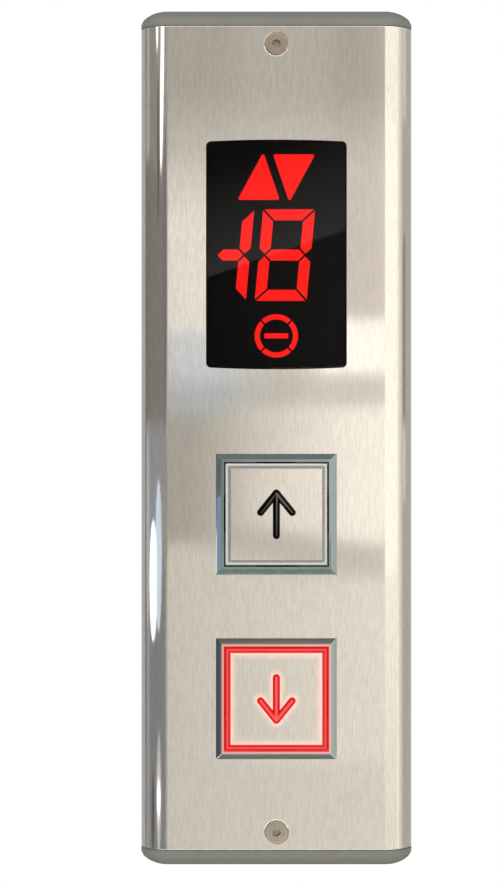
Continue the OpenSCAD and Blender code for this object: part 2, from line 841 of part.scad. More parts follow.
module board_headers() {
    color("#e8e4d8") for (s = [-1, 1]) at(s * lead_x, board_header_z + header_l / 2)
        slab(board_back - header_h, board_back) square([header_w, header_l], center = true);
}

module weld_studs() {
    color("#b7b3a8") at(0, window_z) at_corners(stud_x, stud_z)
        slab(sheet_back - stud_len, sheet_back) circle(d = stud_d);
}

module board_spacers() {
    color("#d9d9d4") at(0, window_z) at_corners(stud_x, stud_z) slab(board_front, sheet_back) difference() {
        circle(d = spacer_d);
        circle(stud_d / 2 + stud_gap);
    }
}

module stud_nuts() {
    color("#c2bca8") at(0, window_z) at_corners(stud_x, stud_z)
        slab(board_back - nut_h, board_back) difference() {
            hexagon(nut_af);
            circle(stud_d / 2 + stud_gap);
        }
}

// Buttons, each drawn about its own middle

module bezel() {
    half = bezel_w / 2;
    inner = opening_w / 2;
    color("#8f9a9b") {
        square_turned(collar_end, [
            [inner, 0], [inner + collar_t, 0], [inner + collar_t, collar_len], [half, collar_len],
            [half, collar_len + bezel_edge], [half - bezel_bevel, collar_len + bezel_rise],
            [inner, collar_len + bezel_rise]
        ]);
        for (a = [0:90:270]) {
            slab(finger_end, collar_end) rotate(a)
                translate([inner + collar_t / 2, 0]) square([collar_t, finger_w], center = true);
            slab(finger_end, finger_end + barb_h) rotate(a)
                translate([inner + collar_t + barb_reach / 2, 0])
                    square([barb_reach, finger_w], center = true);
        }
    }
}

// Places of the diodes on a button board: eight under the light ring and one under the arrow
RING_LEDS = concat(
    [for (sx = [-1, 1], sz = [-1, 1]) [sx * led_side, sz * ring_led_at, 0]],
    [for (sx = [-1, 1], sz = [-1, 1]) [sx * ring_led_at, sz * led_side, 90]],
    [[0, arrow_led_z, 0]]
);

module led_squares(grow) {
    for (p = RING_LEDS) translate([p[0], p[1]]) rotate(p[2])
        square([led_w + 2 * grow, led_d + 2 * grow], center = true);
}

module housing() {
    pilot_top = board_back + board_screw_len + led_air;
    color("#1d1d20") difference() {
        union() {
            slab(board_front, ledge) frame_2d(housing_out_w, housing_in_w);
            slab(ledge, sheet_back) frame_2d(housing_out_w, housing_neck_w);
            slab(sheet_back - housing_flange_t, sheet_back) frame_2d(housing_flange_w, housing_neck_w);
            slab(board_front, floor_top) difference() {
                square(housing_out_w, center = true);
                led_squares(window_room);
                square([switch_l + 2 * window_room, switch_w + 2 * window_room], center = true);
            }
            at_corners(spring_at, spring_at)
                slab(board_front, floor_top + spring_post_len) circle(d = spring_post_d);
            at_corners(boss_at, boss_at) slab(board_front, board_front + boss_h) circle(d = boss_d);
        }
        at_corners(boss_at, boss_at)
            slab(board_front - cut, pilot_top) circle(board_screw_d / 2 + board_screw_gap);
    }
}

module button_board() {
    color("#1f5c3a") difference() {
        slab(board_back, board_front) square(button_board_w, center = true);
        at_corners(boss_at, boss_at)
            slab(board_back - cut, board_front + cut) circle(board_screw_d / 2 + board_screw_gap);
    }
}

module button_leds() {
    color("#f1ead2") slab(board_front, board_front + led_h) led_squares(0);
}

module board_screws() {
    color("#b7b3a8") at_corners(boss_at, boss_at) {
        slab(board_back - board_screw_head_h, board_back) circle(d = board_screw_head);
        slab(board_back, board_back + board_screw_len) circle(d = board_screw_d);
    }
}

module header(side) {
    color("#e8e4d8") at(side * lead_x, header_z - header_l / 2)
        slab(board_back - header_h, board_back) square([header_w, header_l], center = true);
}

// The lead runs straight from its button, at height z, up to the display board
module lead(side, z) {
    color("#8a8d90") bar(z + header_z + plug_l, board_header_z - plug_l)
        for (k = [0:lead_cores - 1])
            translate([side * lead_x + (k - (lead_cores - 1) / 2) * core_pitch, lead_level])
                circle(d = core_d);
}

module lead_plugs(side, z) {
    color("#d8d3c4") for (low = [z + header_z, board_header_z - plug_l]) bar(low, low + plug_l)
        translate([side * lead_x, lead_level]) square([header_w - 1, plug_h], center = true);
}

module switch_body() {
    ear_t = (switch_w - lever_w) / 2 - ear_gap;
    ear_w = 2.2;
    bore_low = switch_top - plunger_in - plunger_stroke - led_air;
    color("#2b2b30") {
        difference() {
            slab(board_front, switch_top) square([switch_l, switch_w], center = true);
            at(plunger_x, 0) slab(bore_low, switch_top + cut) circle(plunger_d / 2 + running_gap);
        }
        for (s = [-1, 1]) at(hinge_x, s * (switch_w - ear_t) / 2)
            slab(switch_top, hinge_level + hinge_pin_d) square([ear_w, ear_t], center = true);
        translate([hinge_x, -hinge_level, 0])
            cylinder(d = hinge_pin_d, h = switch_w - ear_t, center = true);
    }
}

module switch_lever() {
    reach = lever_arm + lever_spare;
    color("#c9c4b4") translate([hinge_x, -hinge_level, 0]) rotate([0, 0, lever_tilt]) difference() {
        union() {
            translate([-reach, -lever_high, -lever_w / 2]) cube([reach, lever_t, lever_w]);
            cylinder(d = barrel_d, h = lever_w, center = true);
        }
        cylinder(d = hinge_pin_d + 2 * running_gap, h = lever_w + cut, center = true);
    }
}

module switch_plunger() {
    color("#b03a2e") at(plunger_x, 0) slab(switch_top - plunger_in, plunger_top) circle(d = plunger_d);
}

// A helical spring of round wire, standing on z = 0, with its end turns closed
module spring(length) {
    steps = 10;
    sides = 5;
    flat = 0.6;
    rings = spring_turns * steps;
    rise = (length - wire_d) / (spring_turns - 2 * flat);
    wire = [for (i = [0:rings], j = [0:sides - 1])
        let(
            turn = i / steps,
            climb = max(0, min(turn - flat, spring_turns - 2 * flat)),
            out = spring_d / 2 + wire_d / 2 * cos(360 * j / sides)
        )
        [out * cos(360 * turn), out * sin(360 * turn),
            wire_d / 2 + rise * climb + wire_d / 2 * sin(360 * j / sides)]
    ];
    skin = [for (i = [0:rings - 1], j = [0:sides - 1])
        let(k = (j + 1) % sides)
        [i * sides + j, i * sides + k, (i + 1) * sides + k, (i + 1) * sides + j]
    ];
    ends = [[for (j = [sides - 1:-1:0]) j], [for (j = [0:sides - 1]) rings * sides + j]];
    polyhedron(wire, concat(skin, ends));
}

module springs() {
    color("#b9bcbd") at_corners(spring_at, spring_at)
        translate([0, -floor_top, 0]) rotate([90, 0, 0]) spring(web_back - floor_top);
}

// The moving part of a button

// The arrow points up; its line is wider all round by grow
module arrow_2d(grow) {
    w = arrow_line + 2 * grow;
    tip = (arrow_len - arrow_line) / 2;
    barb = (arrow_head_w - arrow_line) / 2 / sin(arrow_angle);
    translate([-w / 2, -tip]) square([w, 2 * tip]);
    for (s = [-1, 1]) translate([0, s * tip]) circle(d = w);
    for (s = [-1, 1]) translate([0, tip]) rotate(s * arrow_angle) {
        translate([-w / 2, -barb]) square([w, barb]);
        translate([0, -barb]) circle(d = w);
    }
}

module arrow() {
    color("#151517") slab(push_back, push_front + arrow_crown) arrow_2d(0);
}

module push_plate() {
    color("#c4bbae") slab(push_back, push_front) difference() {
        square(push_w, center = true);
        arrow_2d(arrow_gap);
    }
}

// The clear carrier: the visible light ring, the web behind the plate, a skirt with four corner
// lugs under the collar, posts for the springs and the pusher over the switch lever
module light_ring() {
    lug_w = ring_out_w + 2 * lug_reach;
    color("#d6d6d2") {
        slab(skirt_end, ring_front) frame_2d(ring_out_w, ring_in_w);
        slab(web_back, push_back) square(ring_in_w, center = true);
        slab(skirt_end, lug_top) difference() {
            frame_2d(lug_w, ring_out_w);
            square([finger_w + 2 * lug_room, lug_w + cut], center = true);
            square([lug_w + cut, finger_w + 2 * lug_room], center = true);
        }
        at_corners(spring_at, spring_at)
            slab(web_back - spring_post_len, web_back) circle(d = spring_post_d);
        at(pusher_x, 0) slab(pusher_level, web_back + web_t / 2) circle(d = pusher_d);
        translate([pusher_x, -pusher_level, 0]) sphere(d = pusher_d);
    }
}

module up_button_place() {
    at(0, up_z) children();
}

module down_button_place() {
    at(0, down_z) children();
}

front_cover();
top_end_cap();
bottom_end_cap();
wall_plate();
cover_pillars();
cover_screws();
cable_grommet();
display_lens();
lens_gasket();
segment_mask();
up_triangle();
down_triangle();
tens_segments();
units_segments();
service_symbol();
display_board();
display_leds();
controller_chip();
driver_chips();
floor_sounder();
supply_capacitor();
terminal_block();
board_headers();
weld_studs();
board_spacers();
stud_nuts();
up_button_place() bezel();  // up_bezel
up_button_place() housing();  // up_housing
up_button_place() button_board();  // up_button_board
up_button_place() button_leds();  // up_button_leds
up_button_place() board_screws();  // up_board_screws
up_button_place() header(-1);  // up_header
lead(-1, up_z);  // up_lead
lead_plugs(-1, up_z);  // up_lead_plugs
up_button_place() switch_body();  // up_switch_body
up_button_place() springs();  // up_springs
up_button_place() push_plate();  // up_push_plate
up_button_place() light_ring();  // up_light_ring
up_button_place() arrow();  // up_arrow
up_button_place() switch_lever();  // up_switch_lever
up_button_place() switch_plunger();  // up_switch_plunger
down_button_place() bezel();  // down_bezel
down_button_place() housing();  // down_housing
down_button_place() button_board();  // down_button_board
down_button_place() button_leds();  // down_button_leds
down_button_place() board_screws();  // down_board_screws
down_button_place() header(1);  // down_header
lead(1, down_z);  // down_lead
lead_plugs(1, down_z);  // down_lead_plugs
down_button_place() switch_body();  // down_switch_body
down_button_place() springs();  // down_springs
down_button_place() mirror([0, 0, 1]) push_plate();  // down_push_plate
down_button_place() light_ring();  // down_light_ring
down_button_place() mirror([0, 0, 1]) arrow();  // down_arrow
down_button_place() switch_lever();  // down_switch_lever
down_button_place() switch_plunger();  // down_switch_plunger
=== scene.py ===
"""Looks of a lift landing call panel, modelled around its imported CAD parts. Lengths are metres."""

import math

import bmesh
import bpy
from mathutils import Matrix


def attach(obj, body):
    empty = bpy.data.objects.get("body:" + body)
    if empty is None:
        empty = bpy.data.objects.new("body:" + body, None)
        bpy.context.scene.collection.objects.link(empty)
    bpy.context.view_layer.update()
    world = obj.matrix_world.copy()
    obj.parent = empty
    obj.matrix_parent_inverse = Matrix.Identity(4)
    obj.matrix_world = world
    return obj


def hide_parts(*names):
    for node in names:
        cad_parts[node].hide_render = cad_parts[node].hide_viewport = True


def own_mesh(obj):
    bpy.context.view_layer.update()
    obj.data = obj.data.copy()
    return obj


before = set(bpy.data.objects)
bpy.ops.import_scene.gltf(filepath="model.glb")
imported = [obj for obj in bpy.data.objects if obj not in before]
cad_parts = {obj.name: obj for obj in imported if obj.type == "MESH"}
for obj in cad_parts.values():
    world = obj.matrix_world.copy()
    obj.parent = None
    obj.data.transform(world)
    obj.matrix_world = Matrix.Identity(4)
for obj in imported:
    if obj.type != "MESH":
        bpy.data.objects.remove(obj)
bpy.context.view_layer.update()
scene = bpy.context.scene
MM = 0.001
SIDES = {"up": -24 * MM, "down": -82 * MM}

# Sizes of the panel, as in the part's source; a level is a distance out from the wall
BODY_W, BODY_D, SHEET_END, SHEET_T = 86 * MM, 20 * MM, 129.5 * MM, 1.2 * MM
BEND_R, WALL_GAP = 9 * MM, 0.8 * MM
CAP_H, CAP_CORNER_W, CAP_CORNER_H, CAP_TIP_R = 4.7 * MM, 8.5 * MM, 3.8 * MM, 2.4 * MM
LIP_IN, LIP_T, LIP_H, GROOVE_H, GROOVE_IN = 1.35 * MM, 1.5 * MM, 5 * MM, 0.3 * MM, 0.55 * MM
WINDOW_Z, WINDOW_W, WINDOW_H, WINDOW_BOW, WINDOW_R = 57.7 * MM, 44.2 * MM, 71 * MM, 0.6 * MM, 1.4 * MM
LENS_W, LENS_H, LENS_STEP, LENS_BACK, LENS_GAP = 50.2 * MM, 78.2 * MM, 18.3 * MM, 16.6 * MM, 0.12 * MM
SCREW_Z, SCREW_R, SHANK_R, SCREW_SIDES = 124 * MM, 3.62 * MM, 2 * MM, 48
SOCKET_W = 2.5 * MM
CUTOUT_W, BEZEL_W, OPENING_W, COLLAR_W = 35 * MM, 38 * MM, 33 * MM, 34.6 * MM
COLLAR_END, FINGER_END, RIM = 16 * MM, 12.4 * MM, 21.3 * MM
RING_OUT_W, RING_IN_W, RING_FRONT = 32 * MM, 30 * MM, 20.9 * MM
PUSH_W, ARROW_TOP, ARROW_HALF_W, PRESS = 28.8 * MM, 21.7 * MM, 1.05 * MM, 1.5 * MM
# Faces that round one bend of the sheet or of a cap
BEND_STEPS = 24
# From the camera to the sheet
CAMERA_AWAY = 0.709


# Modelling tools


def begin():
    """Leaves nothing selected, in object mode."""
    if bpy.context.object and bpy.context.object.mode != "OBJECT":
        bpy.ops.object.mode_set(mode="OBJECT")
    bpy.ops.object.select_all(action="DESELECT")


def take(piece):
    """Makes a piece the only one selected."""
    begin()
    bpy.context.view_layer.objects.active = piece
    piece.select_set(True)


def named(name, size=(1, 1, 1)):
    """Names the primitive that was just added and puts its size and place into its mesh."""
    piece = bpy.context.object
    piece.name = name
    piece.data.name = name
    piece.scale = size
    bpy.ops.object.transform_apply(location=True, rotation=True, scale=True)
    return piece


def edit(piece):
    """Opens a piece for editing, with nothing in it selected."""
    take(piece)
    bpy.ops.object.mode_set(mode="EDIT")
    bpy.ops.mesh.select_all(action="DESELECT")


def pick(piece, kind, test):
    """Selects the vertices, edges or faces of the open piece by their middle point and direction."""
    bpy.ops.mesh.select_mode(type=kind)
    bpy.ops.mesh.select_all(action="DESELECT")
    mesh = bmesh.from_edit_mesh(piece.data)
    if kind == "FACE":
        for face in mesh.faces:
            face.select_set(bool(test(face.calc_center_median(), face.normal)))
    elif kind == "EDGE":
        for edge in mesh.edges:
            a, b = (v.co for v in edge.verts)
            edge.select_set(bool(test((a + b) / 2, b - a)))
    else:
        for vert in mesh.verts:
            vert.select_set(bool(test(vert.co, None)))
    mesh.select_flush_mode()
    bmesh.update_edit_mesh(piece.data)


def modify(piece, kind, **settings):
    """Adds a modifier and applies it."""
    take(piece)
    modifier = piece.modifiers.new(kind.lower(), kind)
    for key, value in settings.items():
        setattr(modifier, key, value)
    bpy.ops.object.modifier_apply(modifier=modifier.name)


def close_mesh(piece):
    """Merges doubled points and turns every face outwards."""
    edit(piece)
    bpy.ops.mesh.select_all(action="SELECT")
    bpy.ops.mesh.remove_doubles(threshold=0.002 * MM)
    bpy.ops.mesh.normals_make_consistent(inside=False)
    begin()


def join_in(piece, other, operation="UNION"):
    """Joins another piece on, or cuts it away; the other one is used up."""
    modify(piece, "BOOLEAN", operation=operation, solver="EXACT", object=other)
    bpy.data.objects.remove(other)


def soften(piece, width, segments=2, angle=30):
    """Breaks the sharp edges of a piece by a small round."""
    modify(piece, "BEVEL", width=width, segments=segments, limit_method="ANGLE",
           angle_limit=math.radians(angle), use_clamp_overlap=True)


def block(name, middle, size):
    """A plain block, as a start or a cutter."""
    begin()
    bpy.ops.mesh.primitive_cube_add(size=1, location=middle)
    return named(name, size)


def loft(name, x, z, rings, sides):
    """A square or turned piece drawn ring by ring: each ring is a half-width or radius and a level."""
    begin()
    reach, level = rings[0]
    if sides == 4:
        bpy.ops.mesh.primitive_plane_add(size=2 * reach, location=(x, -level, z),
                                         rotation=(math.pi / 2, 0, 0))
    else:
        bpy.ops.mesh.primitive_circle_add(vertices=sides, radius=reach, fill_type="NGON",
                                          location=(x, -level, z), rotation=(math.pi / 2, 0, 0))
    piece = named(name)
    edit(piece)
    bpy.ops.mesh.select_all(action="SELECT")
    closed = rings[0] == rings[-1]
    if closed:
        bpy.ops.mesh.delete(type="ONLY_FACE")
    bpy.ops.mesh.select_mode(type="EDGE")
    bpy.ops.mesh.select_all(action="SELECT")
    for new_reach, new_level in rings[1:]:
        bpy.ops.mesh.extrude_edges_move()
        grow = new_reach / reach
        bpy.ops.transform.resize(value=(grow, 1, grow), center_override=(x, -level, z))
        bpy.ops.transform.translate(value=(0, level - new_level, 0))
        reach, level = new_reach, new_level
    if not closed:
        bpy.ops.mesh.edge_face_add()
    close_mesh(piece)
    return piece


def copy_of(node, name):
    """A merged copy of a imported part, its flat faces joined up, ready for finer edges."""
    begin()
    piece = bpy.data.objects.new(name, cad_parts[node].data.copy())
    piece.data.name = name
    scene.collection.objects.link(piece)
    edit(piece)
    bpy.ops.mesh.select_all(action="SELECT")
    bpy.ops.mesh.customdata_custom_splitnormals_clear()
    bpy.ops.mesh.remove_doubles(threshold=0.001 * MM)
    bpy.ops.mesh.dissolve_limited(angle_limit=math.radians(0.5))
    begin()
    return piece


def again(piece, name, shift=(0, 0, 0), flip=(1, 1, 1)):
    """A copy of a finished piece with its own mesh, moved or mirrored."""
    take(piece)
    bpy.ops.object.duplicate()
    twin = bpy.context.object
    twin.name = name
    twin.data.name = name
    twin.location = shift
    twin.scale = flip
    bpy.ops.object.transform_apply(location=True, rotation=True, scale=True)
    close_mesh(twin)
    return twin


def done(piece, body, slot, look, *nodes, smooth=35):
    """Shades a finished piece, gives it its material, hangs it on its body and hides the parts it stands
    for.
    """
    take(piece)
    bpy.ops.object.shade_smooth_by_angle(angle=math.radians(smooth))
    modify(piece, "WEIGHTED_NORMAL", keep_sharp=True)
    piece.data.materials.clear()
    piece.data.materials.append(look)
    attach(piece, body)
    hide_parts(*nodes)
    return piece


# Materials


def linear(colour):
    """A colour written as sRGB hex, as the shaders take it."""
    parts = [int(colour[i:i + 2], 16) / 255 for i in (1, 3, 5)]
    return tuple(c / 12.92 if c <= 0.04045 else ((c + 0.055) / 1.055) ** 2.4 for c in parts) + (1.0,)


def add(look, kind, inputs=(), **settings):
    """Adds a node, with its settings and the values or links of its inputs."""
    made = look.node_tree.nodes.new(kind)
    for key, value in settings.items():
        setattr(made, key, value)
    for key, value in dict(inputs).items():
        if isinstance(value, bpy.types.NodeSocket):
            look.node_tree.links.new(value, made.inputs[key])
        else:
            made.inputs[key].default_value = value
    return made


def new_look(name, **constants):
    """A material with its shader's constant values set."""
    look = bpy.data.materials.new(name)
    look.use_nodes = True
    shader = look.node_tree.nodes["Principled BSDF"]
    for key, value in constants.items():
        shader.inputs[key.replace("_", " ")].default_value = value
    return look, shader


def brushed(name, dark, light, rough, line_mm, run_mm, depth, **constants):
    """Sheet metal brushed up and down: fine lines that shift the tone and spread light sideways."""
    look, shader = new_look(name, Metallic=1, **constants)
    links = look.node_tree.links
    place = add(look, "ShaderNodeTexCoord").outputs["Object"]
    # A noise of scale 1 has features about 1 m across, so the scale is the inverse of the line's size
    lines = add(look, "ShaderNodeMapping", {
        "Vector": place, "Scale": (1 / (line_mm * MM), 1 / (line_mm * MM), 1 / (run_mm * MM))})
    streak = add(look, "ShaderNodeTexNoise", {
        "Vector": lines.outputs[0], "Scale": 1.0, "Detail": 3.0, "Roughness": 0.6})
    tone = add(look, "ShaderNodeMapRange", {
        "Value": streak.outputs["Fac"], "From Min": 0.3, "From Max": 0.7})
    colour = add(look, "ShaderNodeMix", {
        "Factor": tone.outputs[0], 6: linear(dark), 7: linear(light)}, data_type="RGBA")
    links.new(colour.outputs[2], shader.inputs["Base Color"])
    spread = add(look, "ShaderNodeMapRange", {
        "Value": tone.outputs[0], "To Min": rough * 1.12, "To Max": rough * 0.9})
    links.new(spread.outputs[0], shader.inputs["Roughness"])
    bump = add(look, "ShaderNodeBump", {
        "Height": streak.outputs["Fac"], "Strength": depth, "Distance": 0.02 * MM})
    links.new(bump.outputs[0], shader.inputs["Normal"])
    tangent = add(look, "ShaderNodeTangent", direction_type="RADIAL", axis="Z")
    links.new(tangent.outputs[0], shader.inputs["Tangent"])
    return look


def grained(name, dark, light, rough, grain_mm, depth, patch_mm=8, **constants):
    """A moulded, plated or painted surface: soft patches of tone and a fine grain in the gloss."""
    look, shader = new_look(name, **constants)
    links = look.node_tree.links
    place = add(look, "ShaderNodeTexCoord").outputs["Object"]
    patch = add(look, "ShaderNodeTexNoise", {
        "Vector": place, "Scale": 1 / (patch_mm * MM), "Detail": 3.0})
    colour = add(look, "ShaderNodeMix", {
        "Factor": patch.outputs["Fac"], 6: linear(dark), 7: linear(light)}, data_type="RGBA")
    links.new(colour.outputs[2], shader.inputs["Base Color"])
    grain = add(look, "ShaderNodeTexNoise", {
        "Vector": place, "Scale": 1 / (grain_mm * MM), "Detail": 2.0})
    gloss = add(look, "ShaderNodeMapRange", {
        "Value": grain.outputs["Fac"], "From Min": 0.3, "From Max": 0.7,
        "To Min": rough * 0.85, "To Max": rough * 1.15})
    links.new(gloss.outputs[0], shader.inputs["Roughness"])
    bump = add(look, "ShaderNodeBump", {
        "Height": grain.outputs["Fac"], "Strength": depth, "Distance": 0.05 * MM})
    links.new(bump.outputs[0], shader.inputs["Normal"])
    return look


def lit(name, dark, light, shine, strength, rough, grain_mm, **constants):
    """A clear red plastic lit from behind: it glows evenly over a slightly uneven moulding."""
    look = grained(name, dark, light, rough, grain_mm, 0.05, **constants)
    shader = look.node_tree.nodes["Principled BSDF"]
    shader.inputs["Emission Color"].default_value = linear(shine)
    shader.inputs["Emission Strength"].default_value = strength
    return look


def painted_shade_towards_ends(look, start, end, dark):
    """Paints shade into a look: a darker tone between two distances above or below the panel's middle."""
    face = look.node_tree.nodes["Principled BSDF"].inputs["Base Color"]
    place = add(look, "ShaderNodeSeparateXYZ", {0: add(look, "ShaderNodeTexCoord").outputs["Object"]})
    reach = add(look, "ShaderNodeMath", {0: place.outputs["Z"]}, operation="ABSOLUTE")
    share = add(look, "ShaderNodeMapRange", {"Value": reach.outputs[0], "From Min": start, "From Max": end})
    tone = add(look, "ShaderNodeMix", {
        "Factor": share.outputs[0], 6: face.links[0].from_socket, 7: linear(dark)}, data_type="RGBA")
    look.node_tree.links.new(tone.outputs[2], face)
    return look


# Stainless sheet, grade 304, brushed lengthways with a belt: warm grey, and its highlights run sideways.
# The real lines are about 0.1 mm apart; they are drawn 0.6 mm apart to show
brushed_stainless = brushed("brushed_stainless", "#cfc8bf", "#ded7ce", 0.115, 0.6, 4, 0.08, Anisotropic=0.5)
# The push plates' stainless steel: the same brush, a little stronger
PUSH_STEEL = ("#cdc5bc", "#ded6cd", 0.13, 0.6, 5, 0.12)
brushed_push_steel = brushed("brushed_push_steel", *PUSH_STEEL, Anisotropic=0.5)
# ABS moulded with a fine spark texture: a mid grey with a soft sheen, and a painted shade towards its outer
# edges
moulded_abs = painted_shade_towards_ends(
    grained("moulded_abs_grey", "#7e7e76", "#8a8a82", 0.42, 0.35, 0.12, Specular_IOR_Level=0.15),
    131.4 * MM, 133.4 * MM, "#757570")
# Zinc-plated mild steel: cool, cloudy and half dull
zinc_plated_steel = grained("zinc_plated_steel", "#9c9fa1", "#bfc1c0", 0.38, 0.5, 0.08, 3, Metallic=1)
# Stainless socket screw, cold headed and tumbled: duller and browner than the sheet
tumbled_screw_steel = grained(
    "tumbled_screw_steel", "#948879", "#a69a8b", 0.36, 0.25, 0.15, 1.2, Metallic=1)
# Nitrile rubber: near black, matt, faintly dusty
moulded_rubber = grained("moulded_rubber", "#161616", "#242423", 0.7, 0.4, 0.2)
# Closed-cell foam strip: matt black with open pores
foam_strip = grained("closed_cell_foam", "#141414", "#262626", 0.9, 0.7, 0.6, 1)
# Screen-printed black on the segment mask: flat, so that only the lit shapes show
mask_black = grained("printed_mask_black", "#060606", "#0b0b0b", 0.75, 0.3, 0.1)
# Glass-epoxy board under green solder mask: glossy, with the weave just showing
SOLDER_MASK = ("#0f4a2c", "#17603a", 0.3, 0.5, 0.1, 1.5)
solder_mask = grained("solder_mask_green", *SOLDER_MASK)
# White moulded diode packages: bright and half matt
diode_package = grained("diode_package_white", "#d9d9d2", "#e8e8e2", 0.4, 0.3, 0.08, 2)
# Moulded epoxy chip bodies: charcoal and slightly gritty
chip_epoxy = grained("chip_epoxy", "#17181a", "#222427", 0.55, 0.15, 0.15, 1)
# Drawn aluminium can: pale, with a soft shine
drawn_aluminium = grained("drawn_aluminium", "#b4b7ba", "#cfd1d2", 0.3, 0.3, 0.08, 2, Metallic=1)
# Polyamide terminal blocks: mid green and half dull
terminal_polyamide = grained("terminal_polyamide_green", "#1f6a3b", "#2a7c48", 0.45, 0.3, 0.1)
# Natural nylon headers, plugs and spacers: milky and waxy
natural_nylon = grained("natural_nylon", "#d8d4c6", "#e7e3d6", 0.45, 0.4, 0.08)
# Glass-filled nylon housings: black, with a slightly fibrous gloss
FILLED_NYLON = ("#121314", "#1e1f21", 0.48, 0.3, 0.15)
filled_nylon = grained("glass_filled_nylon", *FILLED_NYLON)
# Zinc die casting under dark bright nickel: sharp reflections, grey with a little blue-green
DARK_NICKEL = ("#86928f", "#929e9b", 0.1, 1.2, 0.02, 6)
dark_nickel = grained("dark_bright_nickel", *DARK_NICKEL, Metallic=1)
# Gloss black acrylic, filled into the arrow's slot: polished, so it shows one thin light line
gloss_black_acrylic = grained("gloss_black_acrylic", "#050506", "#0a0a0b", 0, 0.6, 0.02)
# Spring wire: bright, cold drawn
spring_wire = grained("spring_wire", "#a3a5a6", "#c2c3c2", 0.25, 0.3, 0.05, 2, Metallic=1)
# Red nylon plunger: a small deep red, half dull
red_nylon = grained("red_nylon", "#a01c18", "#b42620", 0.4, 0.3, 0.08)
# Flat lead in soft PVC: mid grey, smooth and a little waxy
soft_pvc = grained("soft_pvc_grey", "#8b8d8e", "#9a9c9d", 0.5, 0.5, 0.1)
# Red diffusers behind the mask: an even red
lit_segment = lit("lit_segment_red", "#c01818", "#d42020", "#ff1812", 2.4, 0.5, 0.4)


def square_reach(look, z):
    """Distance from a button's middle to a point's square ring, for colours and painted glow along its
    edges.
    """
    place = add(look, "ShaderNodeTexCoord").outputs["Object"]
    part = add(look, "ShaderNodeSeparateXYZ", {0: place})
    across = add(look, "ShaderNodeMath", {0: part.outputs["X"]}, operation="ABSOLUTE")
    up = add(look, "ShaderNodeMath", {0: part.outputs["Z"], 1: z}, operation="SUBTRACT")
    up = add(look, "ShaderNodeMath", {0: up.outputs[0]}, operation="ABSOLUTE")
    reach = add(look, "ShaderNodeMath", {0: across.outputs[0], 1: up.outputs[0]}, operation="MAXIMUM")
    return reach.outputs[0], part.outputs["Y"]


def arrow_distance(look, z, way):
    """Distance from the middle line of a button's arrow."""
    place = add(look, "ShaderNodeTexCoord").outputs["Object"]
    flat = add(look, "ShaderNodeVectorMath", {0: place, 1: (1, 0, 1)}, operation="MULTIPLY").outputs[0]
    tip, barb, drop = 6.7 * MM, 4.95 * MM, 6.11 * MM
    ends = [(0, -tip), (-barb, tip - drop), (barb, tip - drop)]
    nearest = None
    for x, up in ends:
        run = (x, 0, way * (up - tip))
        length = sum(c * c for c in run)
        start = add(look, "ShaderNodeVectorMath", {0: flat, 1: (0, 0, z + way * tip)}, operation="SUBTRACT")
        along = add(look, "ShaderNodeVectorMath", {
            0: start.outputs[0], 1: tuple(c / length for c in run)}, operation="DOT_PRODUCT")
        held = add(look, "ShaderNodeMath", {0: along.outputs["Value"], 1: 1.0}, operation="MULTIPLY",
                   use_clamp=True)
        foot = add(look, "ShaderNodeVectorMath", {0: run, "Scale": held.outputs[0]}, operation="SCALE")
        away = add(look, "ShaderNodeVectorMath", {
            0: start.outputs[0], 1: foot.outputs[0]}, operation="DISTANCE")
        if nearest is None:
            nearest = away.outputs["Value"]
        else:
            nearest = add(look, "ShaderNodeMath", {0: nearest, 1: away.outputs["Value"]},
                          operation="MINIMUM").outputs[0]
    return nearest


def run_of_colours(look, value, low, high, stops):
    """The colours a surface runs through as a value grows. A stop is a share of the way and its colour."""
    made = add(look, "ShaderNodeValToRGB", {
        0: add(look, "ShaderNodeMapRange", {"Value": value, "From Min": low, "From Max": high}).outputs[0]})
    while len(made.color_ramp.elements) < len(stops):
        made.color_ramp.elements.new(0.5)
    for element, (place, colour) in zip(made.color_ramp.elements, stops):
        element.position = place
        element.color = linear(colour)
    return made.outputs[0]


def glow(look, value, low, high, stops):
    """Own light, its colour graded over a value: the lit arrow's glow, or painted glow beside the lit ring.
    """
    shader = look.node_tree.nodes["Principled BSDF"]
    colours = run_of_colours(look, value, low, high, stops)
    look.node_tree.links.new(colours, shader.inputs["Emission Color"])
    shader.inputs["Emission Strength"].default_value = 1.0


def ring_colours(look, side, front, behind, level, socket):
    """Colours a light ring from its inner to its outer edge, and in one other colour below a level."""
    reach, depth = square_reach(look, SIDES[side])
    shown = add(look, "ShaderNodeMapRange", {
        "Value": depth, "From Min": -level, "From Max": -level - 0.25 * MM})
    tone = add(look, "ShaderNodeMix", {
        "Factor": shown.outputs[0], 6: linear(behind),
        7: run_of_colours(look, reach, RING_IN_W / 2, RING_OUT_W / 2, front)}, data_type="RGBA")
    look.node_tree.links.new(tone.outputs[2], look.node_tree.nodes["Principled BSDF"].inputs[socket])


# Frosted acrylic ring, unlit. A painted highlight pales its rounded outer edge; painted shade greys its
# inside
# and, darker, its sides below its front, in the gaps beside it
frosted_acrylic = grained("frosted_acrylic", "#dededa", "#eaeae6", 0.25, 0.3, 0.04)
ring_colours(frosted_acrylic, "up", [
    (0, "#c8c7c2"), (0.5, "#d0cfca"), (0.75, "#eeeeea"), (1, "#eeeeea")],
    "#b2b0ac", 20.05 * MM, "Base Color")
# Red acrylic ring lit by diodes under its inner edge: bright there, deep red at its walls, dimmer below
lit_ring = grained("lit_acrylic_ring", "#7c1010", "#8a1414", 0.25, 0.3, 0.04, Emission_Strength=1.0)
ring_colours(lit_ring, "down", [
    (0, "#b01410"), (0.16, "#c81812"), (0.36, "#ff4a44"), (0.6, "#f02a2a"), (0.82, "#c01010"),
    (1, "#900a0a")], "#9c0e0e", 19.7 * MM, "Emission Color")

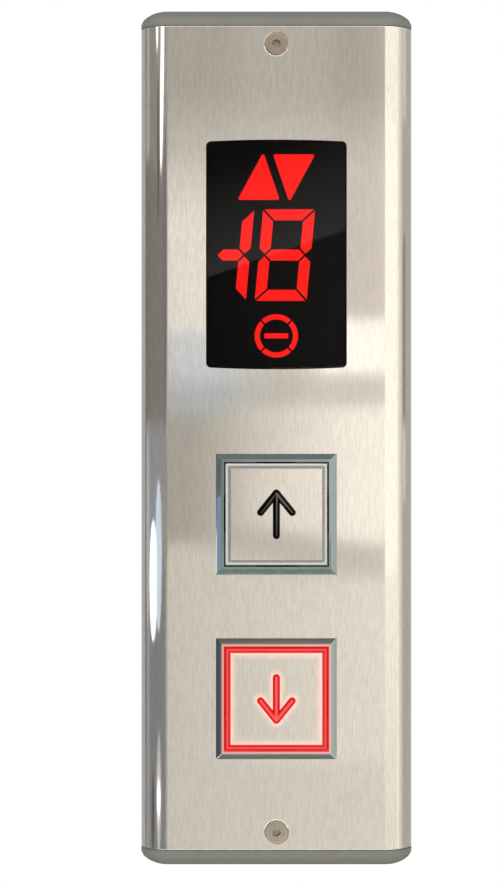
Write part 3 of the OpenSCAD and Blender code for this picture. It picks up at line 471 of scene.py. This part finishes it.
# Red acrylic arrow, lit from behind: light along its middle line, deep red at its edges
lit_arrow = grained("lit_acrylic_arrow", "#7c1010", "#8a1414", 0.2, 0.3, 0.03, Specular_IOR_Level=0.1)
glow(lit_arrow, arrow_distance(lit_arrow, SIDES["down"], -1), 0, ARROW_HALF_W, [
    (0, "#fc6666"), (0.25, "#f04848"), (0.5, "#c01414"), (1, "#960606")])

# The lit button's plate: the same brushed steel, with a painted glow for the ring's and the arrow's light
# spilling over its edges, a little less far from the arrow
SPILL, ARROW_SPILL_SHARE = 2.4 * MM, 1.2
push_steel_painted_glow = brushed("push_steel_painted_glow", *PUSH_STEEL, Anisotropic=0.5)
plate_reach, _ = square_reach(push_steel_painted_glow, SIDES["down"])
edge_gap = add(push_steel_painted_glow, "ShaderNodeMath", {0: PUSH_W / 2, 1: plate_reach}, operation="SUBTRACT")
arrow_gap = add(push_steel_painted_glow, "ShaderNodeMath", {
    0: arrow_distance(push_steel_painted_glow, SIDES["down"], -1), 1: ARROW_HALF_W}, operation="SUBTRACT")
arrow_gap = add(push_steel_painted_glow, "ShaderNodeMath", {
    0: arrow_gap.outputs[0], 1: ARROW_SPILL_SHARE}, operation="MULTIPLY")
spill = add(push_steel_painted_glow, "ShaderNodeMath", {0: edge_gap.outputs[0], 1: arrow_gap.outputs[0]},
            operation="MINIMUM")
glow(push_steel_painted_glow, spill.outputs[0], 0, SPILL, [
    (0, "#cc726a"), (0.25, "#a05044"), (0.45, "#7c4840"), (0.65, "#503430"), (1, "#000000")])

# The lit button's bezel: a painted red glow on its rim stands for the ring's light that it catches
nickel_painted_glow = grained("dark_bright_nickel_painted_glow", *DARK_NICKEL, Metallic=1)
rim_reach, _ = square_reach(nickel_painted_glow, SIDES["down"])
glow(nickel_painted_glow, rim_reach, OPENING_W / 2, 18 * MM, [
    (0, "#b4322e"), (0.16, "#d8605a"), (0.32, "#bc6660"), (0.5, "#6a3834"), (0.75, "#3a201e"),
    (1, "#000000")])

# The lit button's housing and board: a painted red glow in the gap beside the ring stands for its light on
# them
nylon_painted_glow = grained("glass_filled_nylon_painted_glow", *FILLED_NYLON)
board_painted_glow = grained("solder_mask_painted_glow", *SOLDER_MASK)
for look in (nylon_painted_glow, board_painted_glow):
    gap_reach, _ = square_reach(look, SIDES["down"])
    glow(look, gap_reach, 15 * MM, 18 * MM, [
        (0, "#000000"), (0.3, "#b41412"), (0.6, "#b41412"), (1, "#000000")])


def smoked_lens():
    """Smoked acrylic sheet, polished: nearly black, clear, with one sharp gloss."""
    look, shader = new_look("smoked_acrylic", Transmission_Weight=1, IOR=1.49, Roughness=0)
    links = look.node_tree.links
    place = add(look, "ShaderNodeTexCoord").outputs["Object"]
    haze = add(look, "ShaderNodeTexNoise", {"Vector": place, "Scale": 1 / (12 * MM), "Detail": 2.0})
    colour = add(look, "ShaderNodeMix", {
        "Factor": haze.outputs["Fac"], 6: linear("#a9a4a2"), 7: linear("#b4afac")}, data_type="RGBA")
    links.new(colour.outputs[2], shader.inputs["Base Color"])
    return look


smoked_acrylic = smoked_lens()

LOOKS = {
    "wall_plate": zinc_plated_steel, "cover_pillars": zinc_plated_steel, "weld_studs": zinc_plated_steel,
    "stud_nuts": zinc_plated_steel, "cable_grommet": moulded_rubber, "lens_gasket": foam_strip,
    "segment_mask": mask_black, "up_triangle": lit_segment, "down_triangle": lit_segment,
    "tens_segments": lit_segment, "units_segments": lit_segment, "service_symbol": lit_segment,
    "display_board": solder_mask, "display_leds": diode_package, "controller_chip": chip_epoxy,
    "driver_chips": chip_epoxy, "floor_sounder": chip_epoxy, "supply_capacitor": drawn_aluminium,
    "terminal_block": terminal_polyamide, "board_headers": natural_nylon, "board_spacers": natural_nylon,
}
for side in SIDES:
    LOOKS.update({
        side + "_housing": filled_nylon, side + "_switch_body": filled_nylon,
        side + "_button_board": solder_mask, side + "_button_leds": diode_package,
        side + "_board_screws": zinc_plated_steel, side + "_header": natural_nylon,
        side + "_lead": soft_pvc, side + "_lead_plugs": natural_nylon,
        side + "_switch_lever": spring_wire, side + "_switch_plunger": red_nylon,
    })
LOOKS.update(down_housing=nylon_painted_glow, down_button_board=board_painted_glow)
for node, look in LOOKS.items():
    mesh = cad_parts[node].data
    mesh.materials.clear()
    mesh.materials.append(look)


# Cover and end caps


def window_block(name, grow, low, high):
    """A block with the window's outline: upright sides, bowed top and bottom, round corners."""
    begin()
    width, height, steps = WINDOW_W + 2 * grow, WINDOW_H + 2 * grow, 24
    bpy.ops.mesh.primitive_grid_add(x_subdivisions=steps, y_subdivisions=1, size=1,
                                    location=(0, -low, WINDOW_Z), rotation=(math.pi / 2, 0, 0))
    piece = named(name, (width, height, 1))
    edit(piece)
    for step in range(1, steps):
        x = width * (step / steps - 0.5)
        rise = WINDOW_BOW * (1 - (2 * x / width) ** 2)
        for way in (1, -1):
            pick(piece, "VERT", lambda at, _: abs(at.x - x) < 0.1 * MM and way * (at.z - WINDOW_Z) > 0)
            bpy.ops.transform.translate(value=(0, 0, way * rise))
    bpy.ops.mesh.select_all(action="SELECT")
    bpy.ops.mesh.extrude_region_move(TRANSFORM_OT_translate={"value": (0, low - high, 0)})
    close_mesh(piece)
    edit(piece)
    pick(piece, "EDGE", lambda at, along: abs(at.x) > width / 2 - 0.01 * MM and abs(along.y) > 0.1 * MM)
    bpy.ops.mesh.bevel(offset=WINDOW_R + grow, segments=6, affect="EDGES")
    close_mesh(piece)
    return piece


def front_cover():
    """One sheet, bent back along both long sides and cut out for the window, buttons and screws."""
    piece = block("cover_sheet", (0, -(BODY_D + WALL_GAP) / 2, 0),
                  (BODY_W, BODY_D - WALL_GAP, 2 * SHEET_END))
    edit(piece)
    pick(piece, "FACE", lambda at, out: out.y > 0.5 or abs(out.z) > 0.5)
    bpy.ops.mesh.delete(type="FACE")
    pick(piece, "EDGE", lambda at, along: at.y < -BODY_D + 0.1 * MM and abs(along.z) > BODY_D)
    bpy.ops.mesh.bevel(offset=BEND_R, segments=BEND_STEPS, affect="EDGES")
    modify(piece, "SOLIDIFY", thickness=SHEET_T, offset=-1, use_even_offset=True)
    behind, before = 15 * MM, 24 * MM
    join_in(piece, window_block("window_cutter", 0, behind, before), "DIFFERENCE")
    for z in SIDES.values():
        join_in(piece, block("button_cutter", (0, -BODY_D, z), (CUTOUT_W, 8 * MM, CUTOUT_W)), "DIFFERENCE")
    rim = SCREW_R + 0.05 * MM
    for z in (SCREW_Z, -SCREW_Z):
        sink = [(SHANK_R, behind), (SHANK_R, 18.02 * MM), (rim, 19.85 * MM), (rim, 22 * MM)]
        join_in(piece, loft("sink_cutter", 0, z, sink, SCREW_SIDES), "DIFFERENCE")
    edit(piece)
    pick(piece, "EDGE", lambda at, along: at.y < -BODY_D + 0.01 * MM and any(
        abs(math.hypot(at.x, at.z - z) - rim) < 0.05 * MM for z in (SCREW_Z, -SCREW_Z)))
    bpy.ops.mesh.bevel(offset=0.32 * MM, segments=3, affect="EDGES")
    begin()
    soften(piece, 0.14 * MM, 2)
    done(piece, "panel", "stainless_cover", brushed_stainless, "front_cover")


def cap_height(x):
    """Height of the cap's outline at a distance from the middle: a large and a small arc in each corner."""
    half = BODY_W / 2
    run, rise = CAP_CORNER_W - CAP_TIP_R, CAP_CORNER_H - CAP_TIP_R
    big = (run ** 2 + CAP_CORNER_H ** 2 - CAP_TIP_R ** 2) / (2 * rise)
    big_x, big_z = half - CAP_CORNER_W, CAP_H - big
    tip_x, tip_z = half - CAP_TIP_R, CAP_H - CAP_CORNER_H
    meet = tip_x + CAP_TIP_R * (tip_x - big_x) / math.hypot(tip_x - big_x, tip_z - big_z)
    if x <= big_x:
        return CAP_H
    if x <= meet:
        return big_z + math.sqrt(big ** 2 - (x - big_x) ** 2)
    return tip_z + math.sqrt(max(0, CAP_TIP_R ** 2 - (x - tip_x) ** 2))


def end_cap():
    """A moulded cap: the sheet's outline drawn upwards, its top lowered to the arcs and rounded over."""
    low, top, edge_r = SHEET_END + GROOVE_H, SHEET_END + CAP_H, 0.22 * MM
    piece = block("top_cap_moulding", (0, -(BODY_D + WALL_GAP) / 2, (low + top) / 2),
                  (BODY_W, BODY_D - WALL_GAP, top - low))
    edit(piece)
    pick(piece, "EDGE", lambda at, along: at.y < -BODY_D + 0.1 * MM and abs(along.z) > 0.1 * MM)
    bpy.ops.mesh.bevel(offset=BEND_R, segments=BEND_STEPS, affect="EDGES")
    # The top is cut across at the bends' own lines, and each cut is lowered to the arcs
    bends = [BODY_W / 2 - BEND_R * (1 - math.sin(math.pi / 2 * i / BEND_STEPS))
             for i in range(1, BEND_STEPS + 1)]
    for x in bends[:-1]:
        for way in (1, -1):
            pick(piece, "FACE", lambda at, out: out.z > 0.5 and at.z > top - 0.01 * MM)
            bpy.ops.mesh.bisect(plane_co=(way * x, 0, 0), plane_no=(1, 0, 0), threshold=0.0001 * MM)
    for x in bends:
        pick(piece, "VERT", lambda at, _: abs(abs(at.x) - x) < 0.002 * MM and at.z > top - 0.001 * MM)
        bpy.ops.transform.translate(value=(0, 0, cap_height(x) - CAP_H))
    # The front's top edge is rounded generously, every other edge lightly
    pick(piece, "EDGE", lambda at, along: abs(at.x) < BODY_W / 2 - 0.25 * MM and abs(along.x) > 0.02 * MM
         and on_cap_outline(at))
    bpy.ops.mesh.bevel(offset=0.8 * MM, segments=5, affect="EDGES")
    begin()
    soften(piece, edge_r, 2, 50)
    # A neck leaves a fine groove at the sheet; the lip under it reaches in, hollow and notched at the
    # screw's pillar
    edit(piece)
    pick(piece, "FACE", lambda at, out: out.z < -0.99 and at.z < low + 0.01 * MM)
    for inwards, upwards in (
            (GROOVE_IN - edge_r, -GROOVE_H), (LIP_IN - GROOVE_IN, -LIP_H), (LIP_T, LIP_H)):
        bpy.ops.mesh.inset(thickness=inwards, depth=0)
        bpy.ops.mesh.extrude_region_move(TRANSFORM_OT_translate={"value": (0, 0, upwards)})
    notch = (12 * MM, 30 * MM, 6 * MM)
    join_in(piece, block("pillar_notch", (0, -BODY_D / 2, SHEET_END - notch[2] / 2), notch), "DIFFERENCE")
    return piece


def on_cap_outline(at):
    """Whether a point of the cap is on the line where its front turns into its top."""
    past = abs(at.x) - (BODY_W / 2 - BEND_R)
    front = -BODY_D + (BEND_R - math.sqrt(max(0, BEND_R ** 2 - past ** 2)) if past > 0 else 0)
    return abs(at.y - front) < 0.15 * MM and abs(at.z - SHEET_END - cap_height(abs(at.x))) < 0.1 * MM


def cover_screw():
    """A countersunk socket screw."""
    piece = loft("screw_top", 0, SCREW_Z, [
        (1.6 * MM, 8.1 * MM), (SHANK_R - 0.05 * MM, 8.6 * MM), (SHANK_R - 0.05 * MM, 18.1 * MM),
        (SCREW_R, 19.84 * MM), (SCREW_R - 0.04 * MM, 19.9 * MM), (SCREW_R - 0.25 * MM, BODY_D)],
        SCREW_SIDES)
    begin()
    bpy.ops.mesh.primitive_cylinder_add(vertices=6, radius=SOCKET_W / math.sqrt(3), depth=3 * MM,
                                        location=(0, -BODY_D, SCREW_Z),
                                        rotation=(math.pi / 2, math.radians(15), 0))
    join_in(piece, named("socket_cutter"), "DIFFERENCE")
    soften(piece, 0.06 * MM, 2, 40)
    return piece


front_cover()
top_cap = end_cap()
bottom_cap = again(top_cap, "bottom_cap_moulding", flip=(1, 1, -1))
done(top_cap, "panel", "cap_grey", moulded_abs, "top_end_cap", smooth=40)
done(bottom_cap, "panel", "cap_grey", moulded_abs, "bottom_end_cap", smooth=40)
screws = cover_screw()
bottom_screw = again(screws, "screw_bottom", flip=(1, 1, -1))
take(screws)
bottom_screw.select_set(True)
bpy.ops.object.join()
screws.name = "socket_screws"
done(screws, "panel", "screw_steel", tumbled_screw_steel, "cover_screws")


# Display window


def display_lens():
    """The smoked lens: a step fills the window, a wider flange sits behind the sheet."""
    piece = window_block("smoked_lens", -LENS_GAP, LENS_BACK + 0.5 * MM, BODY_D)
    join_in(piece, block("lens_flange", (0, -(LENS_STEP + LENS_BACK) / 2, WINDOW_Z),
                         (LENS_W, LENS_STEP - LENS_BACK, LENS_H)))
    soften(piece, 0.3 * MM, 3)
    done(piece, "panel", "lens_smoke", smoked_acrylic, "display_lens")


display_lens()


# Buttons


def bezel():
    """A square plated frame: flange with a wide bevel, narrow rim, collar and four snap fingers."""
    slope, edge, finger_w, barb_h, sunk = 1.75 * MM, 20.2 * MM, 8 * MM, 0.9 * MM, 0.5 * MM
    outer, rim, collar, inner = (w / 2 for w in (BEZEL_W, BEZEL_W - 2 * slope, COLLAR_W, OPENING_W))
    z = SIDES["up"]
    piece = loft("up_bezel_frame", 0, z, [
        (inner, COLLAR_END), (collar, COLLAR_END), (collar, BODY_D), (outer, BODY_D), (outer, edge),
        (rim, RIM), (inner, RIM), (inner, COLLAR_END)], 4)
    edit(piece)
    # The mitres are the slanting edges between the flange and the rim
    pick(piece, "EDGE", lambda at, along: BODY_D < -at.y < RIM and min(
        abs(along.x), abs(along.z)) > 0.5 * MM)
    bpy.ops.mesh.bevel(offset=0.2 * MM, segments=2, affect="EDGES")
    begin()
    wall = collar - inner
    finger = block("finger", (0, -(FINGER_END + COLLAR_END + sunk) / 2, z + inner + wall / 2),
                   (finger_w, COLLAR_END + sunk - FINGER_END, wall))
    join_in(finger, block("barb", (0, -(FINGER_END + barb_h / 2), z + collar + 0.25 * MM),
                          (finger_w, barb_h, 0.7 * MM)))
    for turn in range(4):
        take(finger)
        bpy.ops.object.duplicate()
        part = bpy.context.object
        edit(part)
        bpy.ops.mesh.select_all(action="SELECT")
        bpy.ops.transform.rotate(value=turn * math.pi / 2, orient_axis="Y", center_override=(0, 0, z))
        join_in(piece, part)
    bpy.data.objects.remove(finger)
    soften(piece, 0.07 * MM, 2, 20)
    return piece


def light_ring(side):
    """The clear carrier, with the front of its ring rounded to a bead."""
    z = SIDES[side]
    piece = copy_of(side + "_light_ring", side + "_ring_bead")
    edit(piece)
    near = 0.02 * MM
    pick(piece, "EDGE", lambda at, along: at.y < -RING_FRONT + near and abs(along.y) < 0.01 * MM and min(
        abs(max(abs(at.x), abs(at.z - z)) - w / 2) for w in (RING_OUT_W, RING_IN_W)) < near)
    bpy.ops.mesh.bevel(offset=0.45 * MM, segments=5, affect="EDGES")
    close_mesh(piece)
    return piece


def push_plate(side):
    """The brushed plate, its outer edge and the arrow's slot lightly rounded."""
    piece = copy_of(side + "_push_plate", side + "_push_face")
    soften(piece, 0.1 * MM, 2, 50)
    return piece


def arrow_bead(side):
    """The raised arrow: its front is rounded to a bead, a little flatter than half-round."""
    piece = copy_of(side + "_arrow", side + "_arrow_bead")
    # It is stretched while it is rounded, and comes back flatter
    stretch = 1.4
    edit(piece)
    bpy.ops.mesh.select_all(action="SELECT")
    bpy.ops.transform.resize(value=(1, stretch, 1), center_override=(0, -ARROW_TOP, 0))
    pick(piece, "EDGE", lambda at, along: abs(at.y + ARROW_TOP) < 0.01 * MM and abs(along.y) < 0.001 * MM)
    bpy.ops.mesh.bevel(offset=0.98 * MM, segments=8, affect="EDGES")
    bpy.ops.mesh.select_all(action="SELECT")
    bpy.ops.transform.resize(value=(1, 1 / stretch, 1), center_override=(0, -ARROW_TOP, 0))
    close_mesh(piece)
    return piece


def return_springs(side):
    """The four coil springs of a button, with their own mesh. On the real button they flatten on their
    seats when pressed.
    """
    piece = done(copy_of(side + "_springs", side + "_coil_springs"), "panel", "spring_steel", spring_wire,
                 side + "_springs")
    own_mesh(piece)


up_frame = bezel()
down_frame = again(up_frame, "down_bezel_frame", shift=(0, 0, SIDES["down"] - SIDES["up"]))
for side, piece, plating, ring, plate, arrow in (
        ("up", up_frame, dark_nickel, frosted_acrylic, brushed_push_steel, gloss_black_acrylic),
        ("down", down_frame, nickel_painted_glow, lit_ring, push_steel_painted_glow, lit_arrow)):
    dark = side == "up"
    done(piece, "panel", "bezel_chrome", plating, side + "_bezel", smooth=20)
    button = side + "_button"
    done(light_ring(side), button, "ring_clear" if dark else "ring_red", ring, side + "_light_ring")
    done(push_plate(side), button, "push_stainless", plate, side + "_push_plate")
    done(arrow_bead(side), button, "arrow_black" if dark else "arrow_red", arrow, side + "_arrow")
    return_springs(side)


# Camera, straight in front as in the photograph, and a plain studio

camera_data = bpy.data.cameras.new("camera")
camera = bpy.data.objects.new("camera", camera_data)
scene.collection.objects.link(camera)
scene.camera = camera
camera.location = (0, -BODY_D - CAMERA_AWAY, 0)
camera.rotation_euler = (math.pi / 2, 0, 0)
camera_data.lens = 91.3
camera_data.sensor_width = 36
# The panel's middle stands right of and above the middle of the picture, in pixels of its height
PICTURE_H = 889
camera_data.shift_x = -26.35 / PICTURE_H
camera_data.shift_y = -6.6 / PICTURE_H
scene.view_settings.view_transform = "Standard"


def studio_world():
    """White to the camera and in gloss and glass; softer as light on the object."""
    world = bpy.data.worlds.new("studio_white")
    scene.world = world
    world.use_nodes = True
    background = world.node_tree.nodes["Background"]
    path = add(world, "ShaderNodeLightPath")
    seen = add(world, "ShaderNodeMath", {
        0: path.outputs["Is Camera Ray"], 1: path.outputs["Is Glossy Ray"]}, operation="MAXIMUM")
    seen = add(world, "ShaderNodeMath", {
        0: seen.outputs[0], 1: path.outputs["Is Transmission Ray"]}, operation="MAXIMUM")
    way = add(world, "ShaderNodeSeparateXYZ", {0: add(world, "ShaderNodeTexCoord").outputs["Generated"]})
    soft = add(world, "ShaderNodeMapRange", {
        "Value": way.outputs["Y"], "From Min": -1.0, "From Max": 0.0, "To Min": 1.48, "To Max": 0.38})
    level = add(world, "ShaderNodeMix", {0: seen.outputs[0], 2: soft.outputs[0], 3: 1.0})
    world.node_tree.links.new(level.outputs[0], background.inputs["Strength"])
    background.inputs["Color"].default_value = (1, 1, 1, 1)


def show(look, shader):
    """Makes a shader the one that a material shows."""
    look.node_tree.links.new(shader.outputs[0], look.node_tree.nodes["Material Output"].inputs["Surface"])


def glossy_card(piece, colour, strength):
    """Makes a flat shape a reflector of the studio. Only gloss shows it, not the camera or soft light.

    A ray off a perfect polish meets it nearly dark; the lens and the black arrow have cards of their own.
    """
    look = bpy.data.materials.new(piece.name)
    look.use_nodes = True
    look.node_tree.nodes.remove(look.node_tree.nodes["Principled BSDF"])
    level = add(look, "ShaderNodeMapRange", {
        "Value": add(look, "ShaderNodeLightPath").outputs["Is Singular Ray"],
        "To Min": strength, "To Max": 0.04 * strength})
    light = add(look, "ShaderNodeEmission", {"Color": linear(colour), "Strength": level.outputs[0]})
    show(look, light)
    piece.data.materials.append(look)
    piece.visible_camera = piece.visible_diffuse = piece.visible_shadow = False
    return look, light


def card(name, middle, size, turn, colour, strength):
    """A square reflector card."""
    begin()
    bpy.ops.mesh.primitive_plane_add(size=1, location=middle, rotation=turn)
    return glossy_card(named(name, (size[0], size[1], 1)), colour, strength)


# A card this far in front of the sheet is mirrored at this many times a point's place on the sheet
CARD_AWAY = 150 * MM
CARD_GROW = 1 + CARD_AWAY / CAMERA_AWAY
# Cards that overlap lie in layers this far apart
CARD_LAYER = 2 * MM


def graded(look, along, start, end, low, high):
    """A level that changes from one place to another along a direction."""
    place = add(look, "ShaderNodeVectorMath", {
        0: add(look, "ShaderNodeTexCoord").outputs["Object"], 1: along}, operation="DOT_PRODUCT")
    return add(look, "ShaderNodeMapRange", {
        "Value": place.outputs["Value"], "From Min": start, "From Max": end,
        "To Min": low, "To Max": high}).outputs[0]


def front_card(name, left, right, low, high, colour, strength, layer=0, fade=None, slant=0):
    """A card in front of the sheet, given by the part of the sheet that mirrors it, in millimetres.

    A fade is a direction, the two places between which the light changes, and the light at the second.
    """
    x0, x1, z0, z1 = (v * MM * CARD_GROW for v in (left, right, low, high))
    look, light = card(name, ((x0 + x1) / 2, -BODY_D - CARD_AWAY + layer * CARD_LAYER, (z0 + z1) / 2),
                       (x1 - x0, z1 - z0), (math.pi / 2, math.radians(slant), 0), colour, strength)
    if fade:
        along, start, end, last = fade
        level = graded(look, along, start * MM * CARD_GROW, end * MM * CARD_GROW, 1, last / strength)
        steady = light.inputs["Strength"].links[0].from_socket
        both = add(look, "ShaderNodeMath", {0: steady, 1: level}, operation="MULTIPLY")
        look.node_tree.links.new(both.outputs[0], light.inputs["Strength"])


ACROSS, UPWARDS = (1, 0, 0), (0, 0, 1)
studio_world()
front_card("front_panel", -38, 38, -210, 210, "#fdfdf7", 0.88)
front_card("top_fade", -38, 38, 78, 210, "#fffdf7", 0.88, 1, (UPWARDS, 80, 110, 0.55))
front_card("top_middle", -13, 17, 82, 210, "#fffdf7", 0.88, 2, (UPWARDS, 82, 108, 0.64))
front_card("upper_left_panel", -38, -5, 28, 87, "#fffff9", 1.13, 2, (UPWARDS, 68, 87, 0.84))
front_card("upper_right_panel", 10, 38, 37, 80, "#fff9f4", 0.86, 2)
front_card("right_strip", 12, 38, 20, 37, "#fffefa", 1.6, 3)
front_card("cool_panel", -38, -12, 8, 33, "#e6f0fa", 0.77, 3, (UPWARDS, 14, 22, 1.06))
front_card("middle_flag", -12, 8, 9, 20, "#fdfdfa", 0.76, 1)
front_card("middle_panel", -38, 38, -33, 10, "#fffdf7", 0.53, 2, (ACROSS, -27, 25, 1.37))
front_card("plate_panel", -10, 11, -29, -7, "#fffdf8", 0.97, 3, (ACROSS, -10, 11, 1.2))
front_card("lower_panel", -38, 38, -102, -44, "#fdfdf6", 0.85, 1, (ACROSS, -30, 25, 1.08))
front_card("foot_panel", -38, 38, -210, -102, "#fdfdf6", 0.85, 1, (ACROSS, -30, 30, 0.97))
front_card("low_shade", -20, 42, -39.5, -30.5, "#fffdf8", 0.68, 3, (ACROSS, -20, 40, 0.8), 9)
# High in front, a dimmer part stands in the lit bezel's upper bevel
front_card("top_flag", -60, 60, 140, 215, "#ffedea", 0.35, 3, (ACROSS, -17, 17, 0.43))
# Right of the panel it is bright, and less so farther round
front_card("right_glow_top", 38, 210, 103, 210, "#fffdf4", 1.38, 3)
front_card("right_glow", 38, 210, -43, 103, "#fffdf6", 1.55, 3)
front_card("right_glow_low", 38, 210, -210, -43, "#fffdf4", 1.1, 3, (UPWARDS, -125, -43, 1.35))
# Cards at the sides stand this far out, and are mirrored at about this many times a point's height
SIDE_X, SIDE_GROW = 0.25, 1.3
SIDE_TURN, FRONT_TURN, LYING = (math.pi / 2, 0, math.pi / 2), (math.pi / 2, 0, 0), (0, 0, 0)
for name, start, end, strength in (
        ("right_near", -0.17, -0.12, 1.32), ("right_side", -0.12, -0.075, 1.02),
        ("right_past", -0.075, -0.04, 0.8), ("right_far", -0.04, 0.5, 0.58)):
    card(name, (SIDE_X, (start + end) / 2, 0), (end - start, 0.6), SIDE_TURN, "#fdfdf6", strength)
for name, middle, size, strength in (
        ("right_dark", (-0.01, 0.045), (0.06, 0.075), 0.36), ("right_top", (0, 0.2), (0.08, 0.14), 0.85),
        ("right_middle", (-0.005, -0.01), (0.07, 0.03), 0.85)):
    card(name, (SIDE_X - CARD_LAYER, *middle), size, SIDE_TURN, "#fdfdf6", strength)
# Two flags stand on edge beside the buttons, along the sheet's mirror lines, and show in the bezels' left
# bevels. From their far side they are clear
FLAG_X = -20.2 * MM
MIRROR_LEAN = -FLAG_X / CAMERA_AWAY
FLAG_TURN = (math.pi / 2, 0, math.pi / 2 - MIRROR_LEAN)
for name, low, high, start, end, colour, strength in (
        ("up_flag", -44, -18.5, 21.1, 24, "#cddeff", 1.1),
        ("down_flag", -102, -61, 20.3, 24, "#e3ecff", 0.27)):
    level = (start + end) / 2 * MM
    look, light = card(name, (FLAG_X - MIRROR_LEAN * (level - BODY_D), -level, (low + high) / 2 * MM),
                       ((end - start) * MM, (high - low) * MM), FLAG_TURN, colour, strength)
    show(look, add(look, "ShaderNodeMixShader", {
        0: add(look, "ShaderNodeNewGeometry").outputs["Backfacing"],
        1: light.outputs[0], 2: add(look, "ShaderNodeBsdfTransparent").outputs[0]}))
# Left of it the room is dim, in four heights: in front, beside and behind
for name, low, high, near, far, edge, colour, margin in (
        ("upper", 88, 210, 0.36, 0.55, 0.56, "#fafcf8", "#fdfdf7"),
        ("window", 5, 88, 0.28, 0.26, 0.78, "#fafcf8", "#ffeeec"),
        ("middle", -40, 5, 0.45, 0.5, 0.58, "#eef3fc", "#fdfdf7"),
        ("lower", -210, -40, 0.35, 0.5, 0.74, "#eaf0fc", "#fdfdf7")):
    front_card("left_shade_" + name, -210, -62, low, high, colour, near)
    front_card("left_margin_" + name, -62, -38, low, high, margin, near, 0, (ACROSS, -62, -38, edge))
    for part, start, end, strength in (("near_", -0.17, -0.035, near), ("far_", -0.035, 0.085, far)):
        card("left_" + part + name, (-SIDE_X, (start + end) / 2, (low + high) / 2 * SIDE_GROW * MM),
             (end - start, (high - low) * SIDE_GROW * MM), SIDE_TURN, colour, strength)
card("left_back", (-SIDE_X, 0.29, 0), (0.4, 0.6), SIDE_TURN, "#f6faf8", 0.58)
# Above and below it lie dim cards, dark behind the panel
card("top_wall", (0, -0.0825, 0.3), (0.5, 0.205), LYING, "#f8fbfa", 0.5)
card("top_front", (0, -0.2925, 0.3), (0.5, 0.215), LYING, "#fbfaf8", 0.34)
card("low_wall", (0, -0.09, -0.3), (0.5, 0.22), LYING, "#f8fbf8", 0.5)
card("top_back", (0, 0.3, 0.3), (0.6, 0.56), LYING, "#f4fbfa", 0.15)
card("low_back", (0, 0.3, -0.3), (0.6, 0.56), LYING, "#f4fbfa", 0.15)
# Two near strips light the broken edges at the sheet's ends
card("top_edge_strip", (0, -0.06, 0.165), (0.18, 0.024), FRONT_TURN, "#ffffff", 6)
card("low_edge_strip", (0, -0.06, -0.165), (0.18, 0.024), FRONT_TURN, "#ffffff", 6)

# The middle of the left bend, round which the lamps stand
LEFT_BEND_X, LEFT_BEND_Y = -40 * MM, -17 * MM


def lamp(name, turn, away, low, high, width, colour, strength, slant=0):
    """An oval lamp or flag left of the panel that draws a line on the left bend.

    The line's ends on the bend are in millimetres; the turn is in degrees round the bend, from the front.
    """
    grow = 1 + away / CAMERA_AWAY
    around = math.radians(turn)
    begin()
    bpy.ops.mesh.primitive_circle_add(
        vertices=32, radius=0.5, fill_type="NGON",
        rotation=(math.pi / 2, math.radians(slant), math.pi - around),
        location=(LEFT_BEND_X - away * math.sin(around), LEFT_BEND_Y - away * math.cos(around),
                  (low + high) / 2 * MM * grow))
    glossy_card(named(name, (width, (high - low) * MM * grow, 1)), colour, strength)


lamp("upper_line", 25.5, 0.14, 82, 152, 0.032, "#ffffff", 2.6, -20)
lamp("upper_short_line", 48, 0.14, 122, 152, 0.027, "#ffffff", 2.4)
lamp("upper_dark_line", 43, 0.13, 68, 114, 0.02, "#ffffff", 0.12)
lamp("left_gap", 12, 0.13, 0, 100, 0.03, "#ffffff", 0.22)
lamp("middle_lamp", 65, 0.045, -64, -26, 0.032, "#ffffff", 2.4)
lamp("middle_sky", 38.5, 0.046, -61, -13, 0.025, "#d2e6fc", 1.3)
lamp("middle_halo", 97, 0.05, -60, 2, 0.018, "#dcecff", 0.75)
lamp("outer_dark_line", 111, 0.12, -150, 28, 0.024, "#ffffff", 0.24)
lamp("outer_upper_dark_line", 111, 0.12, 80, 180, 0.024, "#ffffff", 0.3)
lamp("middle_gap", 12, 0.13, -42, 4, 0.04, "#ffffff", 0.4)
lamp("lower_line", 41, 0.138, -119, -108, 0.038, "#ffffff", 2.6)
lamp("lower_grey_line", 40, 0.14, -132, -93, 0.046, "#ffffff", 0.75)
lamp("lower_dark_line", 67.5, 0.14, -132, -105, 0.034, "#ffffff", 0.14)


def polish_card(name, middle, size, slant, away, colour, along, ends):
    """A graded card that only a ray off a perfect polish meets, so the steel doesn't show it."""
    grow = MM * (1 + away / CAMERA_AWAY)
    look, light = card(name, (middle[0] * grow, -BODY_D - away, middle[1] * grow),
                       (size[0] * grow, size[1] * grow), (math.pi / 2, math.radians(slant), 0), colour, 1)
    (start, low), (end, high) = ends
    level = graded(look, along, start * grow, end * grow, low, high)
    look.node_tree.links.new(level, light.inputs["Strength"])
    show(look, add(look, "ShaderNodeMixShader", {
        0: add(look, "ShaderNodeLightPath").outputs["Is Singular Ray"],
        1: add(look, "ShaderNodeBsdfTransparent").outputs[0], 2: light.outputs[0]}))


# The lens mirrors a dark room and, above a slanting edge, a paler part that fades upwards
SHEEN_SLANT = 19
UP_THE_SHEEN = (-math.sin(math.radians(SHEEN_SLANT)), 0, math.cos(math.radians(SHEEN_SLANT)))
polish_card("lens_dark", (0, 57.7), (56, 90), 0, 0.142, "#fffdfa", ACROSS, ((-22, 0.05), (22, 0.12)))
polish_card("lens_sheen", (-10.1, 86.3), (90, 60), -SHEEN_SLANT, 0.138, "#fffdfa", UP_THE_SHEEN,
            ((54.9, 0.43), (86, 0.05)))
# The black arrow mirrors a lamp beside the camera as a thin line that fades downwards
polish_card("arrow_lamp", (12, -24), (30, 60), 0, 0.138, "#fff6e6", UPWARDS, ((-33, 1.6), (-20, 3.6)))

# The floor, well below the panel: pale matt paint that shows only in views from above
FLOOR_W, FLOOR_Z = 2.4, -0.45
begin()
bpy.ops.mesh.primitive_plane_add(size=FLOOR_W, location=(0, 0, FLOOR_Z))
floor = named("floor")
floor_paint, floor_shader = new_look("matt_floor_paint", Roughness=0.8)
floor_shader.inputs["Base Color"].default_value = linear("#f4f3ef")
floor.data.materials.append(floor_paint)

begin()
